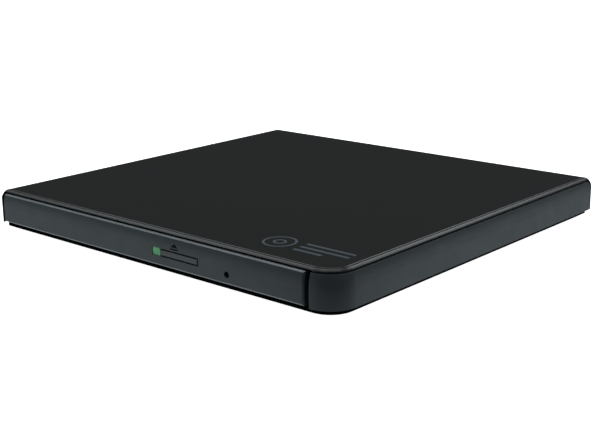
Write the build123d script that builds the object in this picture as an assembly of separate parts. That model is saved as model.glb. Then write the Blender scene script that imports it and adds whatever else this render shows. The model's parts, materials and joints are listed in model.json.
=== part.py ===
from build123d import *
import os

# Slim external optical drive, modelled with the tray closed.
# X runs to the right, Y to the back, Z up. The origin is the centre of the footprint, on the
# surface that the feet stand on. All sizes are in millimetres.

# ---- Outer case
WIDTH = 144.0
DEPTH = 137.5
HEIGHT = 14.0
BIG_CORNER = 8.5  # front right corner in plan
SMALL_CORNER = 1.1  # the other three corners in plan
SHOULDER_DROP = 5.45  # height of the curved shoulder below the top
SHOULDER_INSET = 2.2  # how far the shoulder leans in at the top
CREASE_INSET, CREASE_WIDTH, CREASE_DEPTH = 1.7, 0.5, 0.35  # fine line between top and shoulder
CREASE_BEVEL = 0.2
COVER_UNDERSIDE = 13.2  # lower edge of the visible cover band
WALL_TOP = 12.6  # upper edge of the case walls and of the bezel
WALL_FOOT = 2.9  # lower edge of the case walls, and the floor's upper face
FOOT_HEIGHT = 1.5
LIP_INSET = 1.4  # the floor is set in below the walls
LIP_LEFT_INSET, LIP_CORNER = 1.2, 0.6
WALL = 1.75
COVER_SKIRT_INSET = 1.95
RIM_INSET = 1.45  # back of the groove between the walls and the cover
APRON = 1.05  # thickness of the cover where it wraps down the left and back walls
JOINT = 0.35  # dark joint beside the apron, where the groove turns down
JOINT_DEPTH = 1.2
END_ROUND = 1.0  # top corner of the bezel and of the right wall, beside the joint
MARGIN_INSET, MARGIN_THICKNESS = 3.4, 0.8  # shelf that joins the walls to the floor
FIT = 0.1  # clearance between pieces that only sit beside each other
OVER = 1.0  # how far a cutting shape runs past what it cuts

LEFT = -WIDTH / 2
RIGHT = WIDTH / 2
FRONT = -DEPTH / 2
BACK = DEPTH / 2
INNER_RIGHT = RIGHT - WALL
INNER_BACK = BACK - WALL

# ---- Cover tongues, upper shield and case screws
TONGUE_SPOTS = [-30.0, 15.0, 50.0]
TONGUE_LENGTH, TONGUE_WIDTH, TONGUE_DROP = 10.0, 1.0, 2.2
SHIELD_X, SHIELD_Y, SHIELD_FOOT = (-68.9, 60.5), (-64.0, 60.7), 12.3
SHIELD_SLOTS, SHIELD_SLOT_LENGTH, SHIELD_SLOT_WIDTH = [-40.0, 35.0], 12.0, 3.0
CASE_SCREW_SPOTS = [(-66.0, 63.2), (56.3, 63.2), (66.4, -56.0)]
BOSS_R, BOSS_SPLIT = 2.6, 6.0  # lower bosses meet the cover's bosses at this height
COVER_BOSS_R, COVER_BOSS_HOLE_R = 2.3, 1.05
HEAD_R, HEAD_WELL_R, HEAD_FOOT, HEAD_TOP = 1.9, 2.0, 2.1, 3.4
CASE_SCREW_R, CASE_SCREW_TIP, CASE_SCREW_HOLE_R = 1.0, 10.0, 1.15
CROSS_LENGTH, CROSS_WIDTH, CROSS_DEPTH = 2.4, 0.4, 0.6

# ---- Feet and vents
FOOT_SPOTS = [(x, y) for x in (-54.0, 54.0) for y in (-58.0, 57.0)]
FOOT_LENGTH, FOOT_WIDTH, FOOT_TOP = 12.0, 4.0, 2.0
VENT_SPOTS = [-30.0 + 3.0 * n for n in range(9)]
VENT_WIDTH, VENT_Z = 1.2, (6.0, 10.0)

# ---- Bezel and the controls in it
BEZEL_RIGHT = 61.4
BEZEL_BACK = FRONT + 2.75
BEZEL_FOOT = 3.15
BEZEL_BEVEL = 0.45
BEZEL_CLEARANCE = 0.25  # between the bezel's back and the case walls
BEZEL_TABS, BEZEL_TAB_HALF, BEZEL_TAB_DEPTH, BEZEL_TAB_HEIGHT = [-40.0, 44.0], 5.0, 1.4, 0.6
CORNER_POST_LEFT, CORNER_POST_WALL = 63.3, 1.4
CORNER_POST_Y = (FRONT + 0.9, -61.0)
SLOT_LEFT, SLOT_RIGHT = 3.1, 22.4
SLOT_FOOT, SLOT_TOP = 6.05, 8.5
WINDOW_RIGHT, WINDOW_RECESS = 6.45, 0.25
BUTTON_GAP, BUTTON_TOP_GAP, BUTTON_RIGHT_GAP = 0.25, 0.5, 0.6
BUTTON_RECESS, BUTTON_BEVEL = 0.1, 0.2
BUTTON_FLANGE, BUTTON_PLAY = 0.5, 0.15
BUTTON_STEM_X, BUTTON_STEM_Z, BUTTON_STEM_END = (13.4, 15.4), (6.5, 7.3), -62.65
PIPE_STEM_X, PIPE_STEM_TOP, PIPE_STEM_END = (3.9, 5.7), 7.3, -62.9
EJECT_HOLE_X, EJECT_HOLE_Z, EJECT_HOLE_R = 33.5, 5.98, 1.0
SYMBOL_X, SYMBOL_WIDTH = 12.6, 3.2
SYMBOL_FOOT, SYMBOL_TOP = 8.95, 10.8
SYMBOL_BAR, SYMBOL_SPACE = 0.45, 0.3
SYMBOL_DEPTH = 0.3

# ---- Tray, with the spindle that sets the places inside it
SPINDLE_X, SPINDLE_Y = -3.0, -3.0
RECESS_R = 60.8
SMALL_RECESS_R = 40.8  # second recess for 80 mm discs
TRAY_LEFT, TRAY_RIGHT = -65.4, 52.2
TRAY_FRONT, TRAY_BACK = BEZEL_BACK, 60.5
TRAY_TOP = 10.9
TRAY_UNDERSIDE = 7.6
RECESS_FLOOR = 8.7
SMALL_RECESS_FLOOR = 8.4
DISC_SEAT = 9.3
SKIRT = 1.2
PLATE_FOOT, PLATE_TOP = 3.5, 3.9  # thin steel plate under the tray
PLATE_EDGE = 0.6
LANE_LEFT, LANE_RIGHT, LANE_TOP = 46.2, 50.4, 7.2  # lane that the latch pin runs through
FINGER_SPOTS, FINGER_R = [-44.0, 38.0], 5.0  # notches to lift the disc by
CONTROL_WINDOW_X, CONTROL_WINDOW_Z, CONTROL_WINDOW_DEPTH = (2.6, 23.4), (5.2, 9.4), 1.7
PLATE_SCREW_SPOTS = [(-61.5, 57.0), (-61.5, 10.0), (43.0, 57.0), (-8.0, 57.0), (20.0, -57.5)]
PLATE_BOSS_R, PLATE_PILOT_R, PLATE_PILOT_TOP = 1.7, 0.75, 7.2
PLATE_SCREW_R, PLATE_SCREW_HEAD_R, PLATE_SCREW_HEAD, PLATE_SCREW_TIP = 0.7, 1.4, 0.25, 6.9

# ---- Rails: the tray's tongue runs in a rail, and the rail runs in a guide on the floor
TONGUE_FOOT, TONGUE_TOP = 5.6, 6.8
TONGUE_REACH, TONGUE_HALF = 2.7, 60.0
RAIL_SHEET = 0.5
RAIL_PLAY = 0.15
RAIL_MOUTH = 0.9  # gap between the tray's side and the rail
RAIL_FRONT, RAIL_BACK = -60.0, 55.0
GUIDE_FRONT, GUIDE_BACK = -62.0, 20.0
GUIDE_WALL = 0.8
GUIDE_FEET_X, GUIDE_FEET_Y, GUIDE_FOOT_HALF = (1.2, 3.1), (GUIDE_FRONT + 5, -20.0, GUIDE_BACK - 5), 4.0

# ---- Traverse: the pickup runs away from the spindle along the local x axis
TRAVERSE_ANGLE = 225.0
HUB_OPENING_R = 17.0
PICKUP_SLOT_END, PICKUP_SLOT_HALF, PICKUP_SLOT_CORNER = 63.5, 15.5, 3.0
COVER_PLATE_Z = (7.85, 8.4)
COVER_SLOT_X, COVER_SLOT_HALF, COVER_SLOT_CORNER, COVER_HOLE_R = (8.0, 62.4), 7.5, 2.0, 14.8
CHASSIS_FOOT, CHASSIS_TOP = 4.2, 5.0
CHASSIS_X, CHASSIS_HALF = (-20.0, 71.5), 22.6
WELL_X, WELL_HALF = (13.4, 68.6), 12.2
BEARING_HOLE_R = 7.0
CHASSIS_SLOT_X, CHASSIS_SLOT_Y, CHASSIS_SLOT_HALF, CHASSIS_SLOT_CORNER = (24.0, 50.0), 17.0, 2.2, 1.5
CHASSIS_SPOTS = [(-14.0, 18.5), (-14.0, -18.5), (67.0, 16.0), (67.0, -16.0)]
CHASSIS_POST_R, CHASSIS_PILOT_R, CHASSIS_PILOT_TOP = 1.9, 0.85, 7.9
GROMMET_INNER_R, GROMMET_OUTER_R, GROMMET_FOOT, GROMMET_TOP = 0.95, 1.85, 4.1, 5.4
CHASSIS_SCREW_HEAD_R, CHASSIS_SCREW_R = 1.6, 0.8
SHAFT_SPREAD = 19.5
SHAFT_R = 1.0
SHAFT_Z = 6.1
SHAFT_START, SHAFT_END = 8.0, 64.0
HOLDER_LENGTH, HOLDER_HALF = 2.6, 1.5
SCREW_Y, SCREW_Z, SCREW_R = 15.0, 6.0, 0.8
SCREW_START, SCREW_END = 10.5, 57.0
RUNNING = 0.05  # radial clearance of a running fit
PRESSED = 0.01
MOTOR_END, MOTOR_R, MOTOR_TOP = 63.5, 2.9, 7.5
MOTOR_BORE_END = 60.0
BRACKET_X, BRACKET_SHEET, BRACKET_Y, BRACKET_TOP = (9.2, 55.6), 0.8, (12.6, 17.2), 7.4

# ---- Pickup
LENS_REST = 24.0
SLED_HALF = 11.5
SLED_INNER, SLED_OUTER = 14.5, 34.0
SLED_FOOT, SLED_TOP = 4.5, 7.3
SLED_WELL_HALF, SLED_WELL_FLOOR = 6.2, 5.6
SLED_NOTCH_LENGTH, SLED_NOTCH_START = 3.0, 3.0
SLED_ARM_FOOT, SLED_ARM_LENGTH = 6.85, 6.0
FOLLOWER_X, FOLLOWER_HALF = (16.5, 18.5), 0.6
SHIELD_SHEET, PICKUP_SHIELD_EDGE, SHIELD_WINDOW_HALF = 0.2, 0.5, 5.4
LENS_HOLDER_X, LENS_HOLDER_Y, LENS_HOLDER_Z, LENS_HOLDER_BEVEL = 3.6, 4.6, (6.2, 7.9), 0.8
LENS_RING_R, LENS_RING_TOP, LENS_BORE_R = 2.9, 8.2, 2.05
LENS_R, LENS_FOOT, LENS_DOME_Z, LENS_DOME_R = 2.0, 7.4, 5.3, 3.1
MAGNET_OFFSET, MAGNET_HALF_X, MAGNET_HALF_Y, MAGNET_TOP = 5.0, 0.6, 3.0, 7.2

# ---- Spindle
BEARING_FLANGE_R, BEARING_R, BEARING_TOP, SPINDLE_SHAFT_R = 7.4, 2.2, 7.4, 1.0
STATOR_ARMS, STATOR_Z, STATOR_ARM_Z = 9, (5.4, 6.6), (5.6, 6.4)
STATOR_CORE_R, STATOR_ARM, STATOR_COIL, STATOR_SHOE = 3.2, (2.8, 9.0), (4.2, 7.8), (8.6, 9.4)
STATOR_ARM_HALF, STATOR_COIL_HALF, STATOR_SHOE_HALF = 0.5, 0.9, 1.6
CUP_R, CUP_BORE_R, CUP_FOOT, CUP_ROOF = 11.8, 10.2, 5.2, 7.5
TABLE_R, TABLE_FOOT, TABLE_TOP = 13.6, 8.1, 9.0
PAD_INNER_R, PAD_OUTER_R, PAD_FOOT = 10.45, 12.55, 8.8
HUB_R, HUB_TOP, HUB_BEVEL = 7.4, 11.6, 0.9
PAWLS = 3
PAWL_SLOT_X, PAWL_SLOT_HALF, PAWL_SLOT_Z = (3.2, 8.0), 1.3, (9.35, 11.0)
PAWL_BACK, PAWL_HALF, PAWL_Z, PAWL_BEVEL = 5.2, 1.15, (9.5, 10.85), 0.45
PAWL_REACH = 7.85  # how far the pawls stand out, to grip a 15 mm hole
PAWL_SPRING_X, PAWL_SPRING_Z, PAWL_SPRING_R, PAWL_SPRING_BORE = (3.25, 5.15), 10.15, 0.45, 0.25

# ---- Boards
BOARD_THICKNESS = 0.8
TRAY_BOARD_FOOT = 4.4
BOARD_TOP = TRAY_BOARD_FOOT + BOARD_THICKNESS
TRAY_BOARD_OUTLINE = [
    (-12, -64.2), (26, -64.2), (26, -55), (14, -55), (14, -44), (45.4, -44), (45.4, 58.8),
    (-50, 58.8), (-50, 37), (-1, 37), (36, 0), (2, -34), (-12, -48),
]
# Chips as plan position, side and height.
TRAY_CHIPS = [
    (10, 46, 14, 1.2), (-9, 46, 9, 1.0), (-22, 46, 8, 1.0),
    (39, 20, 7, 1.0), (39, -10, 6, 0.9), (39, -30, 5, 0.8),
]
USB_CHIPS = [(63.5, -15, 8, 1.0), (63.8, 8, 7, 1.0), (62.5, 50, 5, 0.9)]
CHIP_MARK_INSET, CHIP_MARK_R, CHIP_MARK_DEPTH = 1.0, 0.4, 0.1
CONNECTOR_HEIGHT = 1.2
SPINDLE_CONNECTOR = (28.0, 38.0, 8.0, 11.0)
USB_BOARD_FOOT = 4.2
USB_BOARD_TOP = USB_BOARD_FOOT + BOARD_THICKNESS
USB_BOARD_X, USB_BOARD_Y = (58.6, 69.2), (-50.0, 56.0)
USB_ARM_X, USB_ARM_Y = (60.2, 68.2), (55.0, 66.4)
USB_BOARD_POSTS = [(61.0, -40.0), (66.6, 38.0)]
USB_POST_R, USB_PILOT_R, USB_PILOT_FOOT, USB_BOARD_HOLE_R = 1.8, 0.75, 2.1, 0.9
USB_SCREW_HEAD_R, USB_SCREW_HEAD, USB_SCREW_R, USB_SCREW_TIP = 1.5, 0.7, 0.7, 2.2
USB_SOCKET_X, USB_SOCKET_HALF, USB_SOCKET_FRONT, USB_SOCKET_HEIGHT = 64.2, 3.85, 59.0, 3.95
USB_SHELL, USB_SHELL_BEVEL, USB_BORE_BEVEL, USB_BORE_FRONT = 0.35, 0.8, 0.7, 60.5
USB_TONGUE_HALF, USB_TONGUE_Z, USB_TONGUE_Y = 2.35, (1.8, 2.7), (60.0, BACK - 2.0)
USB_OPENING_X = (USB_SOCKET_X - 4.3, USB_SOCKET_X + 4.3)
USB_OPENING_Z = (4.6, 9.6)
SWITCH_X, SWITCH_Y, SWITCH_TOP = (12.0, 16.8), (-61.4, -58.4), 7.3
SWITCH_KNOB_X, SWITCH_KNOB_FRONT, SWITCH_KNOB_Z = (13.6, 15.2), -62.1, (6.4, 7.2)
LED_X, LED_Y, LED_HEIGHT = (3.9, 5.5), (-62.8, -61.2), 1.6

# ---- Latch: a hook on the tray holds a pin on the floor, and a solenoid pulls it free
LATCH_PIVOT = (29.5, -60.0)
LATCH_SWING = 10.0
LATCH_FOOT, LATCH_TOP = 5.4, 6.6
LATCH_POST_R, LATCH_POST_FOOT, LATCH_EYE_R = 1.2, 4.6, 2.4
LATCH_TAIL_X, LATCH_TAIL_Y, LATCH_TAIL_Z = (32.3, 34.7), (-62.6, -61.2), (5.2, 6.8)
FORK_X, FORK_Y, FORK_Z = (32.7, 34.1), (-53.2, -47.6), (4.5, 7.3)
FORK_GAP_HALF, FORK_GAP_Z = 1.7, (4.85, 7.05)
PIN_X, PIN_Y, PIN_R, PIN_TOP = 48.3, -50.5, 1.0, 6.9
PIN_PAD_R, PIN_PAD_TOP = 2.2, 3.3
PLUNGER_Y, PLUNGER_Z, PLUNGER_R = -50.5, 5.95, 0.9
PLUNGER_STROKE = 1.7
PLUNGER_X, PLUNGER_COLLAR_X, PLUNGER_COLLAR_R = (22.5, 36.2), (34.7, 35.7), 1.35
SOLENOID_X, SOLENOID_Y, SOLENOID_Z, SOLENOID_WALLS = (16.0, 28.4), (-54.2, -46.8), (4.1, 7.4), (1.0, 1.2)
COIL_R, COIL_Z, SOLENOID_BASE_TOP, SOLENOID_BORE_START = 2.2, 6.0, 5.0, 18.5

# ---- Eject plunger: a sprung rod that pushes the tray off the back wall
PUSH_ROD_X, PUSH_ROD_Z, PUSH_ROD_R = -54.0, 5.8, 0.95
PUSH_ROD_FRONT = 17.0
PUSH_HOLDER_HALF, PUSH_HOLDER_FRONT, PUSH_HOLDER_BACK = 3.0, 28.0, 30.8
PUSH_COLLAR_Y, PUSH_COLLAR_R, PUSH_COLLAR_LENGTH = 45.0, 1.7, 1.0
SPRING_PITCH, SPRING_TURNS, SPRING_R, SPRING_WIRE = 1.5, 9, 1.4, 0.2

# ---- Flat cables, in the case, between the case and the tray, and to the pickup
FLEX_X = (24.0, 38.0)
FLEX_RUN_Y = (22.0, 38.0)
FLEX_RISE_X = 57.6
CASE_CONNECTOR_X = (59.0, 62.2)
FLEX_BEND = -21.0
FLEX_END = 50.0
FLEX_SHEET = 0.1
FLEX_LOW, FLEX_HIGH = 2.95, 3.35
FLEX_SLOT_HALF, FLEX_SLOT_SIDE = 1.2, 0.3
FLEX_PLUG_HEIGHT, PICKUP_PLUG_HEIGHT = 0.5, 0.4  # where a cable enters its connector
FLEX_CONNECTOR_Y = (FLEX_END + 1.4, FLEX_END + 5.0)
PICKUP_FLEX_X = (-29.0, -19.0)
PICKUP_FLEX_FRONT, PICKUP_FLEX_BACK = -24.0, 36.9
PICKUP_FLEX_Z = 4.0
PICKUP_CONNECTOR_Y, PICKUP_CONNECTOR_MARGIN = (37.6, 41.0), 2.0


# ---- Helpers
def block(x0, x1, y0, y1, z0, z1):
    """A box between two corners."""
    return Pos(x0, y0, z0) * Box(x1 - x0, y1 - y0, z1 - z0, align=(Align.MIN,) * 3)


def rod(x, y, r, z0, z1):
    """An upright cylinder."""
    return Pos(x, y, z0) * Cylinder(r, z1 - z0, align=(Align.CENTER, Align.CENTER, Align.MIN))


def rod_x(x0, x1, y, z, r):
    """A cylinder along X."""
    return Pos(x0, y, z) * Rot(0, 90, 0) * rod(0, 0, r, 0, x1 - x0)


def rod_y(x, y0, y1, z, r):
    """A cylinder along Y."""
    return Pos(x, y0, z) * Rot(-90, 0, 0) * rod(0, 0, r, 0, y1 - y0)


def plate(points, z0, z1):
    """A flat plate with the given outline."""
    return Pos(0, 0, z0) * extrude(make_face(Polyline(*points, close=True)), z1 - z0)


def rounded(x0, x1, y0, y1, z0, z1, r):
    """A box with rounded upright edges."""
    face = Pos((x0 + x1) / 2, (y0 + y1) / 2, z0) * RectangleRounded(x1 - x0, y1 - y0, r)
    return extrude(face, z1 - z0)


def washer(x, y, inner, outer, z0, z1):
    """A flat ring."""
    return rod(x, y, outer, z0, z1) - rod(x, y, inner, z0 - OVER, z1 + OVER)


def on_traverse(shape):
    """Move a shape from the traverse's own axes to its place in the tray."""
    return Pos(SPINDLE_X, SPINDLE_Y, 0) * Rot(0, 0, TRAVERSE_ANGLE) * shape


def save(name, *solids):
    """Write one node as a STEP file of separate solids."""
    found = [s for shape in solids for s in shape.solids()]
    shape = found[0] if len(found) == 1 else Compound(children=found)
    export_step(shape, f"parts/{name}.step")


# ---- Outer shape of the case
def outline(inset):
    """The case's plan outline, moved in by an even amount. It starts in the middle of the front."""
    x, y = RIGHT - inset, BACK - inset
    big = BIG_CORNER - inset
    small = max(SMALL_CORNER - inset, 0.4)
    return Wire([
        Line((0, -y), (x - big, -y)),
        RadiusArc((x - big, -y), (x, big - y), -big),
        Line((x, big - y), (x, y - small)),
        RadiusArc((x, y - small), (x - small, y), -small),
        Line((x - small, y), (small - x, y)),
        RadiusArc((small - x, y), (-x, y - small), -small),
        Line((-x, y - small), (-x, small - y)),
        RadiusArc((-x, small - y), (small - x, -y), -small),
        Line((small - x, -y), (0, -y)),
    ])


def slab(inset, z0, z1):
    """The plan outline, moved in and extruded."""
    return Pos(0, 0, z0) * extrude(make_face(outline(inset).edges()), z1 - z0)


def shoulder_waste():
    """Section of the waste outside a wall at x = 0: a rectangle less the shoulder's ellipse."""
    start = Pos(-SHOULDER_INSET, HEIGHT - SHOULDER_DROP)
    corner = (Align.MIN, Align.MIN)
    waste = start * Rectangle(SHOULDER_INSET + OVER, SHOULDER_DROP + OVER, align=corner)
    return waste - start * Ellipse(SHOULDER_INSET, SHOULDER_DROP)


def shoulder_cutters():
    """The waste along each wall, and round the big corner."""
    waste = shoulder_waste()
    bend_x, bend_y = RIGHT - BIG_CORNER, FRONT + BIG_CORNER
    far = WIDTH / 2 + OVER
    along = Plane.XZ * waste
    cutters = [
        Pos(RIGHT, far, 0) * extrude(along, far - bend_y),
        Pos(LEFT, 0, 0) * Rot(0, 0, 180) * Pos(0, far, 0) * extrude(along, 2 * far),
        Pos(0, BACK, 0) * Rot(0, 0, 90) * Pos(0, far, 0) * extrude(along, 2 * far),
        Pos(0, FRONT, 0) * Rot(0, 0, -90) * Pos(0, bend_x, 0) * extrude(along, far + bend_x),
    ]
    turned = revolve(Plane.XZ * Pos(BIG_CORNER, 0) * waste, Axis.Z, revolution_arc=90)
    cutters.append(Pos(bend_x, bend_y, 0) * Rot(0, 0, -90) * turned)
    return cutters


def envelope(z0, z1):
    """The full outer shape between two heights."""
    body = slab(0, z0, z1)
    for cutter in shoulder_cutters():
        body -= cutter
    return body


def cover_apron():
    """The part of the cover that wraps down over the left and back walls."""
    def along_walls(inset, z0, z1):
        left = block(LEFT - OVER, LEFT + inset, FRONT - OVER, BACK + OVER, z0, z1)
        return left + block(LEFT - OVER, RIGHT + OVER, BACK - inset, BACK + OVER, z0, z1)
    zone = along_walls(APRON, WALL_FOOT, COVER_UNDERSIDE)
    zone += along_walls(RIM_INSET - FIT, WALL_TOP + FIT, COVER_UNDERSIDE)
    return envelope(WALL_FOOT, COVER_UNDERSIDE) & zone


def back_openings():
    """The socket's opening and the vents, through the back wall and the cover's apron."""
    cut_y = (INNER_BACK - OVER, BACK + OVER)
    openings = [block(*USB_OPENING_X, *cut_y, *USB_OPENING_Z)]
    half = VENT_WIDTH / 2
    return openings + [block(x - half, x + half, *cut_y, *VENT_Z) for x in VENT_SPOTS]


def top_cover():
    body = envelope(COVER_UNDERSIDE, HEIGHT) - slab(CREASE_INSET, HEIGHT - CREASE_DEPTH, HEIGHT + OVER)
    panel = slab(CREASE_INSET + CREASE_WIDTH, HEIGHT - CREASE_DEPTH, HEIGHT)
    body += chamfer(panel.faces().sort_by(Axis.Z)[-1].edges(), CREASE_BEVEL)
    body += cover_apron()
    for opening in back_openings():
        body -= opening
    skirt = slab(COVER_SKIRT_INSET, WALL_TOP + FIT, COVER_UNDERSIDE)
    body += skirt - block(LEFT, RIGHT, FRONT - OVER, BEZEL_BACK + 0.4, WALL_TOP, COVER_UNDERSIDE)
    for x, y in CASE_SCREW_SPOTS:
        body += rod(x, y, COVER_BOSS_R, BOSS_SPLIT, WALL_TOP + FIT)
        body -= rod(x, y, COVER_BOSS_HOLE_R, BOSS_SPLIT - OVER, CASE_SCREW_TIP + 1.1)
    half, reach = TONGUE_WIDTH / 2, TONGUE_LENGTH / 2
    for y in TONGUE_SPOTS:
        tongue = block(-half, half, y - reach, y + reach, WALL_TOP - TONGUE_DROP, WALL_TOP + FIT)
        for side in (-1, 1):
            body += Pos(side * (INNER_RIGHT - half - 0.2), 0, 0) * tongue
    return body


def case_floor():
    """The floor, which is also the lip that is set in below the walls."""
    reach = BACK - LIP_INSET
    left = rounded(LEFT + LIP_LEFT_INSET, 0, -reach, reach, FOOT_HEIGHT, WALL_FOOT, LIP_CORNER)
    return slab(LIP_INSET, FOOT_HEIGHT, WALL_FOOT) + left


def joint_cutters():
    """Room for the cover's apron, and the joint where the groove turns down at the right wall's end."""
    inset = APRON + FIT
    end = BACK - APRON - JOINT
    x = (RIGHT - JOINT_DEPTH, RIGHT + OVER)
    round_y, round_z = end - END_ROUND, WALL_TOP - END_ROUND
    corner = block(*x, round_y, BACK, round_z, HEIGHT) - rod_x(*x, round_y, round_z, END_ROUND)
    return [
        block(LEFT - OVER, LEFT + inset, FRONT - OVER, BACK + OVER, WALL_FOOT, HEIGHT),
        block(LEFT - OVER, RIGHT + OVER, BACK - inset, BACK + OVER, WALL_FOOT, HEIGHT),
        block(*x, end, BACK + OVER, WALL_FOOT, HEIGHT),
        corner,
    ]


def bottom_case():
    body = envelope(WALL_FOOT, WALL_TOP) - slab(WALL, WALL_FOOT - OVER, WALL_TOP + OVER)
    body += slab(RIM_INSET, WALL_TOP, COVER_UNDERSIDE) - slab(WALL, WALL_TOP - OVER, HEIGHT)
    shelf_top = WALL_FOOT + MARGIN_THICKNESS
    body += slab(FIT, WALL_FOOT, shelf_top) - slab(MARGIN_INSET, WALL_FOOT - OVER, HEIGHT)
    mouth = BEZEL_BACK + BEZEL_CLEARANCE
    body -= block(LEFT - OVER, CORNER_POST_LEFT, FRONT - OVER, mouth, WALL_FOOT, HEIGHT)
    body -= block(LEFT + WALL, CORNER_POST_LEFT, FRONT, BEZEL_BACK + 2, WALL_FOOT, HEIGHT)
    post_right = CORNER_POST_LEFT + CORNER_POST_WALL
    body += block(CORNER_POST_LEFT, post_right, *CORNER_POST_Y, WALL_FOOT, WALL_TOP)
    for cutter in joint_cutters():
        body -= cutter
    body += case_floor()
    for x, y in CASE_SCREW_SPOTS:
        body += rod(x, y, BOSS_R, WALL_FOOT, BOSS_SPLIT)
        body -= rod(x, y, HEAD_WELL_R, FOOT_HEIGHT - OVER, HEAD_TOP)
        body -= rod(x, y, CASE_SCREW_HOLE_R, FOOT_HEIGHT, BOSS_SPLIT + OVER)
    for opening in back_openings():
        body -= opening
    for x, y in FOOT_SPOTS:
        body -= foot(x, y, FIT / 2)
    body += rod(PIN_X, PIN_Y, PIN_PAD_R, WALL_FOOT, PIN_PAD_TOP)
    for x, y in USB_BOARD_POSTS:
        body += rod(x, y, USB_POST_R, WALL_FOOT, USB_BOARD_FOOT)
        body -= rod(x, y, USB_PILOT_R, USB_PILOT_FOOT, USB_BOARD_FOOT + OVER)
    return body


def foot(x, y, grow=0.0):
    """One stadium-shaped foot, or the shallow pocket it sits in when grown a little."""
    dx, dy = FOOT_LENGTH / 2 + grow, FOOT_WIDTH / 2 + grow
    return rounded(x - dx, x + dx, y - dy, y + dy, 0, FOOT_TOP, dy - PRESSED)


def rubber_feet():
    return [foot(x, y) for x, y in FOOT_SPOTS]


def case_screws():
    screws = []
    long, wide = CROSS_LENGTH / 2, CROSS_WIDTH / 2
    cross_top = HEAD_FOOT + CROSS_DEPTH
    for x, y in CASE_SCREW_SPOTS:
        screw = rod(x, y, HEAD_R, HEAD_FOOT, HEAD_TOP) + rod(x, y, CASE_SCREW_R, HEAD_TOP, CASE_SCREW_TIP)
        screw -= block(x - long, x + long, y - wide, y + wide, HEAD_FOOT - OVER, cross_top)
        screw -= block(x - wide, x + wide, y - long, y + long, HEAD_FOOT - OVER, cross_top)
        screws.append(screw)
    return screws


def upper_shield():
    """The thin steel sheet under the cover, with two embossed slots."""
    sheet = block(*SHIELD_X, *SHIELD_Y, SHIELD_FOOT, WALL_TOP + FIT)
    x, half = SHIELD_SLOT_LENGTH / 2, SHIELD_SLOT_WIDTH / 2
    for y in SHIELD_SLOTS:
        sheet -= rounded(-x, x, y - half, y + half, SHIELD_FOOT - OVER, HEIGHT, half - FIT)
    return sheet


# ---- Rails
def rail_section(side, tray_edge, front, back, inner_gap, sheet):
    """A C-shaped channel open towards the tray. inner_gap is its clearance round the tongue."""
    near = tray_edge + side * RAIL_MOUTH
    far = tray_edge + side * (TONGUE_REACH + inner_gap)
    out = far + side * sheet
    z0, z1 = TONGUE_FOOT - inner_gap, TONGUE_TOP + inner_gap
    channel = block(min(near, out), max(near, out), front, back, z0 - sheet, z1 + sheet)
    return channel - block(min(near, far), max(near, far), front - OVER, back + OVER, z0, z1)


def rail(side, tray_edge):
    return rail_section(side, tray_edge, RAIL_FRONT, RAIL_BACK, RAIL_PLAY, RAIL_SHEET)


def rail_guide(side, tray_edge):
    gap = 2 * RAIL_PLAY + RAIL_SHEET
    body = rail_section(side, tray_edge, GUIDE_FRONT, GUIDE_BACK, gap, GUIDE_WALL)
    near, far = sorted(tray_edge + side * x for x in GUIDE_FEET_X)
    foot_top = TONGUE_FOOT - gap - GUIDE_WALL
    for y in GUIDE_FEET_Y:
        body += block(near, far, y - GUIDE_FOOT_HALF, y + GUIDE_FOOT_HALF, WALL_FOOT, foot_top)
    return body


# ---- Bezel and controls
def tray_bezel():
    body = envelope(BEZEL_FOOT, WALL_TOP)
    left_end = LEFT + APRON + JOINT
    y = (FRONT - OVER, BEZEL_BACK + OVER)
    body &= block(left_end, BEZEL_RIGHT, FRONT - OVER, BEZEL_BACK, BEZEL_FOOT, WALL_TOP)
    for end in (0, -1):
        face = body.faces().sort_by(Axis.Z)[end]
        body = chamfer(face.edges().sort_by(Axis.Y)[0], BEZEL_BEVEL)
    for end in (0, -1):
        face = body.faces().sort_by(Axis.X)[end]
        body = chamfer(face.edges().sort_by(Axis.Y)[0], BEZEL_BEVEL)
    round_x, round_z = left_end + END_ROUND, WALL_TOP - END_ROUND
    corner = block(left_end - OVER, round_x, *y, round_z, WALL_TOP + OVER)
    body -= corner - rod_y(round_x, *y, round_z, END_ROUND)
    body -= block(SLOT_LEFT, SLOT_RIGHT, FRONT - OVER, BACK, SLOT_FOOT, SLOT_TOP)
    body -= rod_y(EJECT_HOLE_X, FRONT - OVER, BACK, EJECT_HOLE_Z, EJECT_HOLE_R)
    for shape in eject_symbol():
        body -= shape
    tab_y, tab_top = (BEZEL_BACK - 0.2, BEZEL_BACK + BEZEL_TAB_DEPTH), TRAY_TOP + BEZEL_TAB_HEIGHT
    for x in BEZEL_TABS:
        body += block(x - BEZEL_TAB_HALF, x + BEZEL_TAB_HALF, *tab_y, TRAY_TOP, tab_top)
    return body


def eject_symbol():
    """A triangle over a bar, sunk into the bezel."""
    half = SYMBOL_WIDTH / 2
    bar_top = SYMBOL_FOOT + SYMBOL_BAR
    base = bar_top + SYMBOL_SPACE
    triangle = Polyline((SYMBOL_X - half, base), (SYMBOL_X + half, base), (SYMBOL_X, SYMBOL_TOP), close=True)
    bar = Pos(SYMBOL_X, (SYMBOL_FOOT + bar_top) / 2) * Rectangle(SYMBOL_WIDTH, SYMBOL_BAR)
    front = Plane.XZ.offset(-FRONT - SYMBOL_DEPTH)
    return [extrude(front * face, SYMBOL_DEPTH + OVER) for face in (make_face(triangle), bar)]


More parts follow.
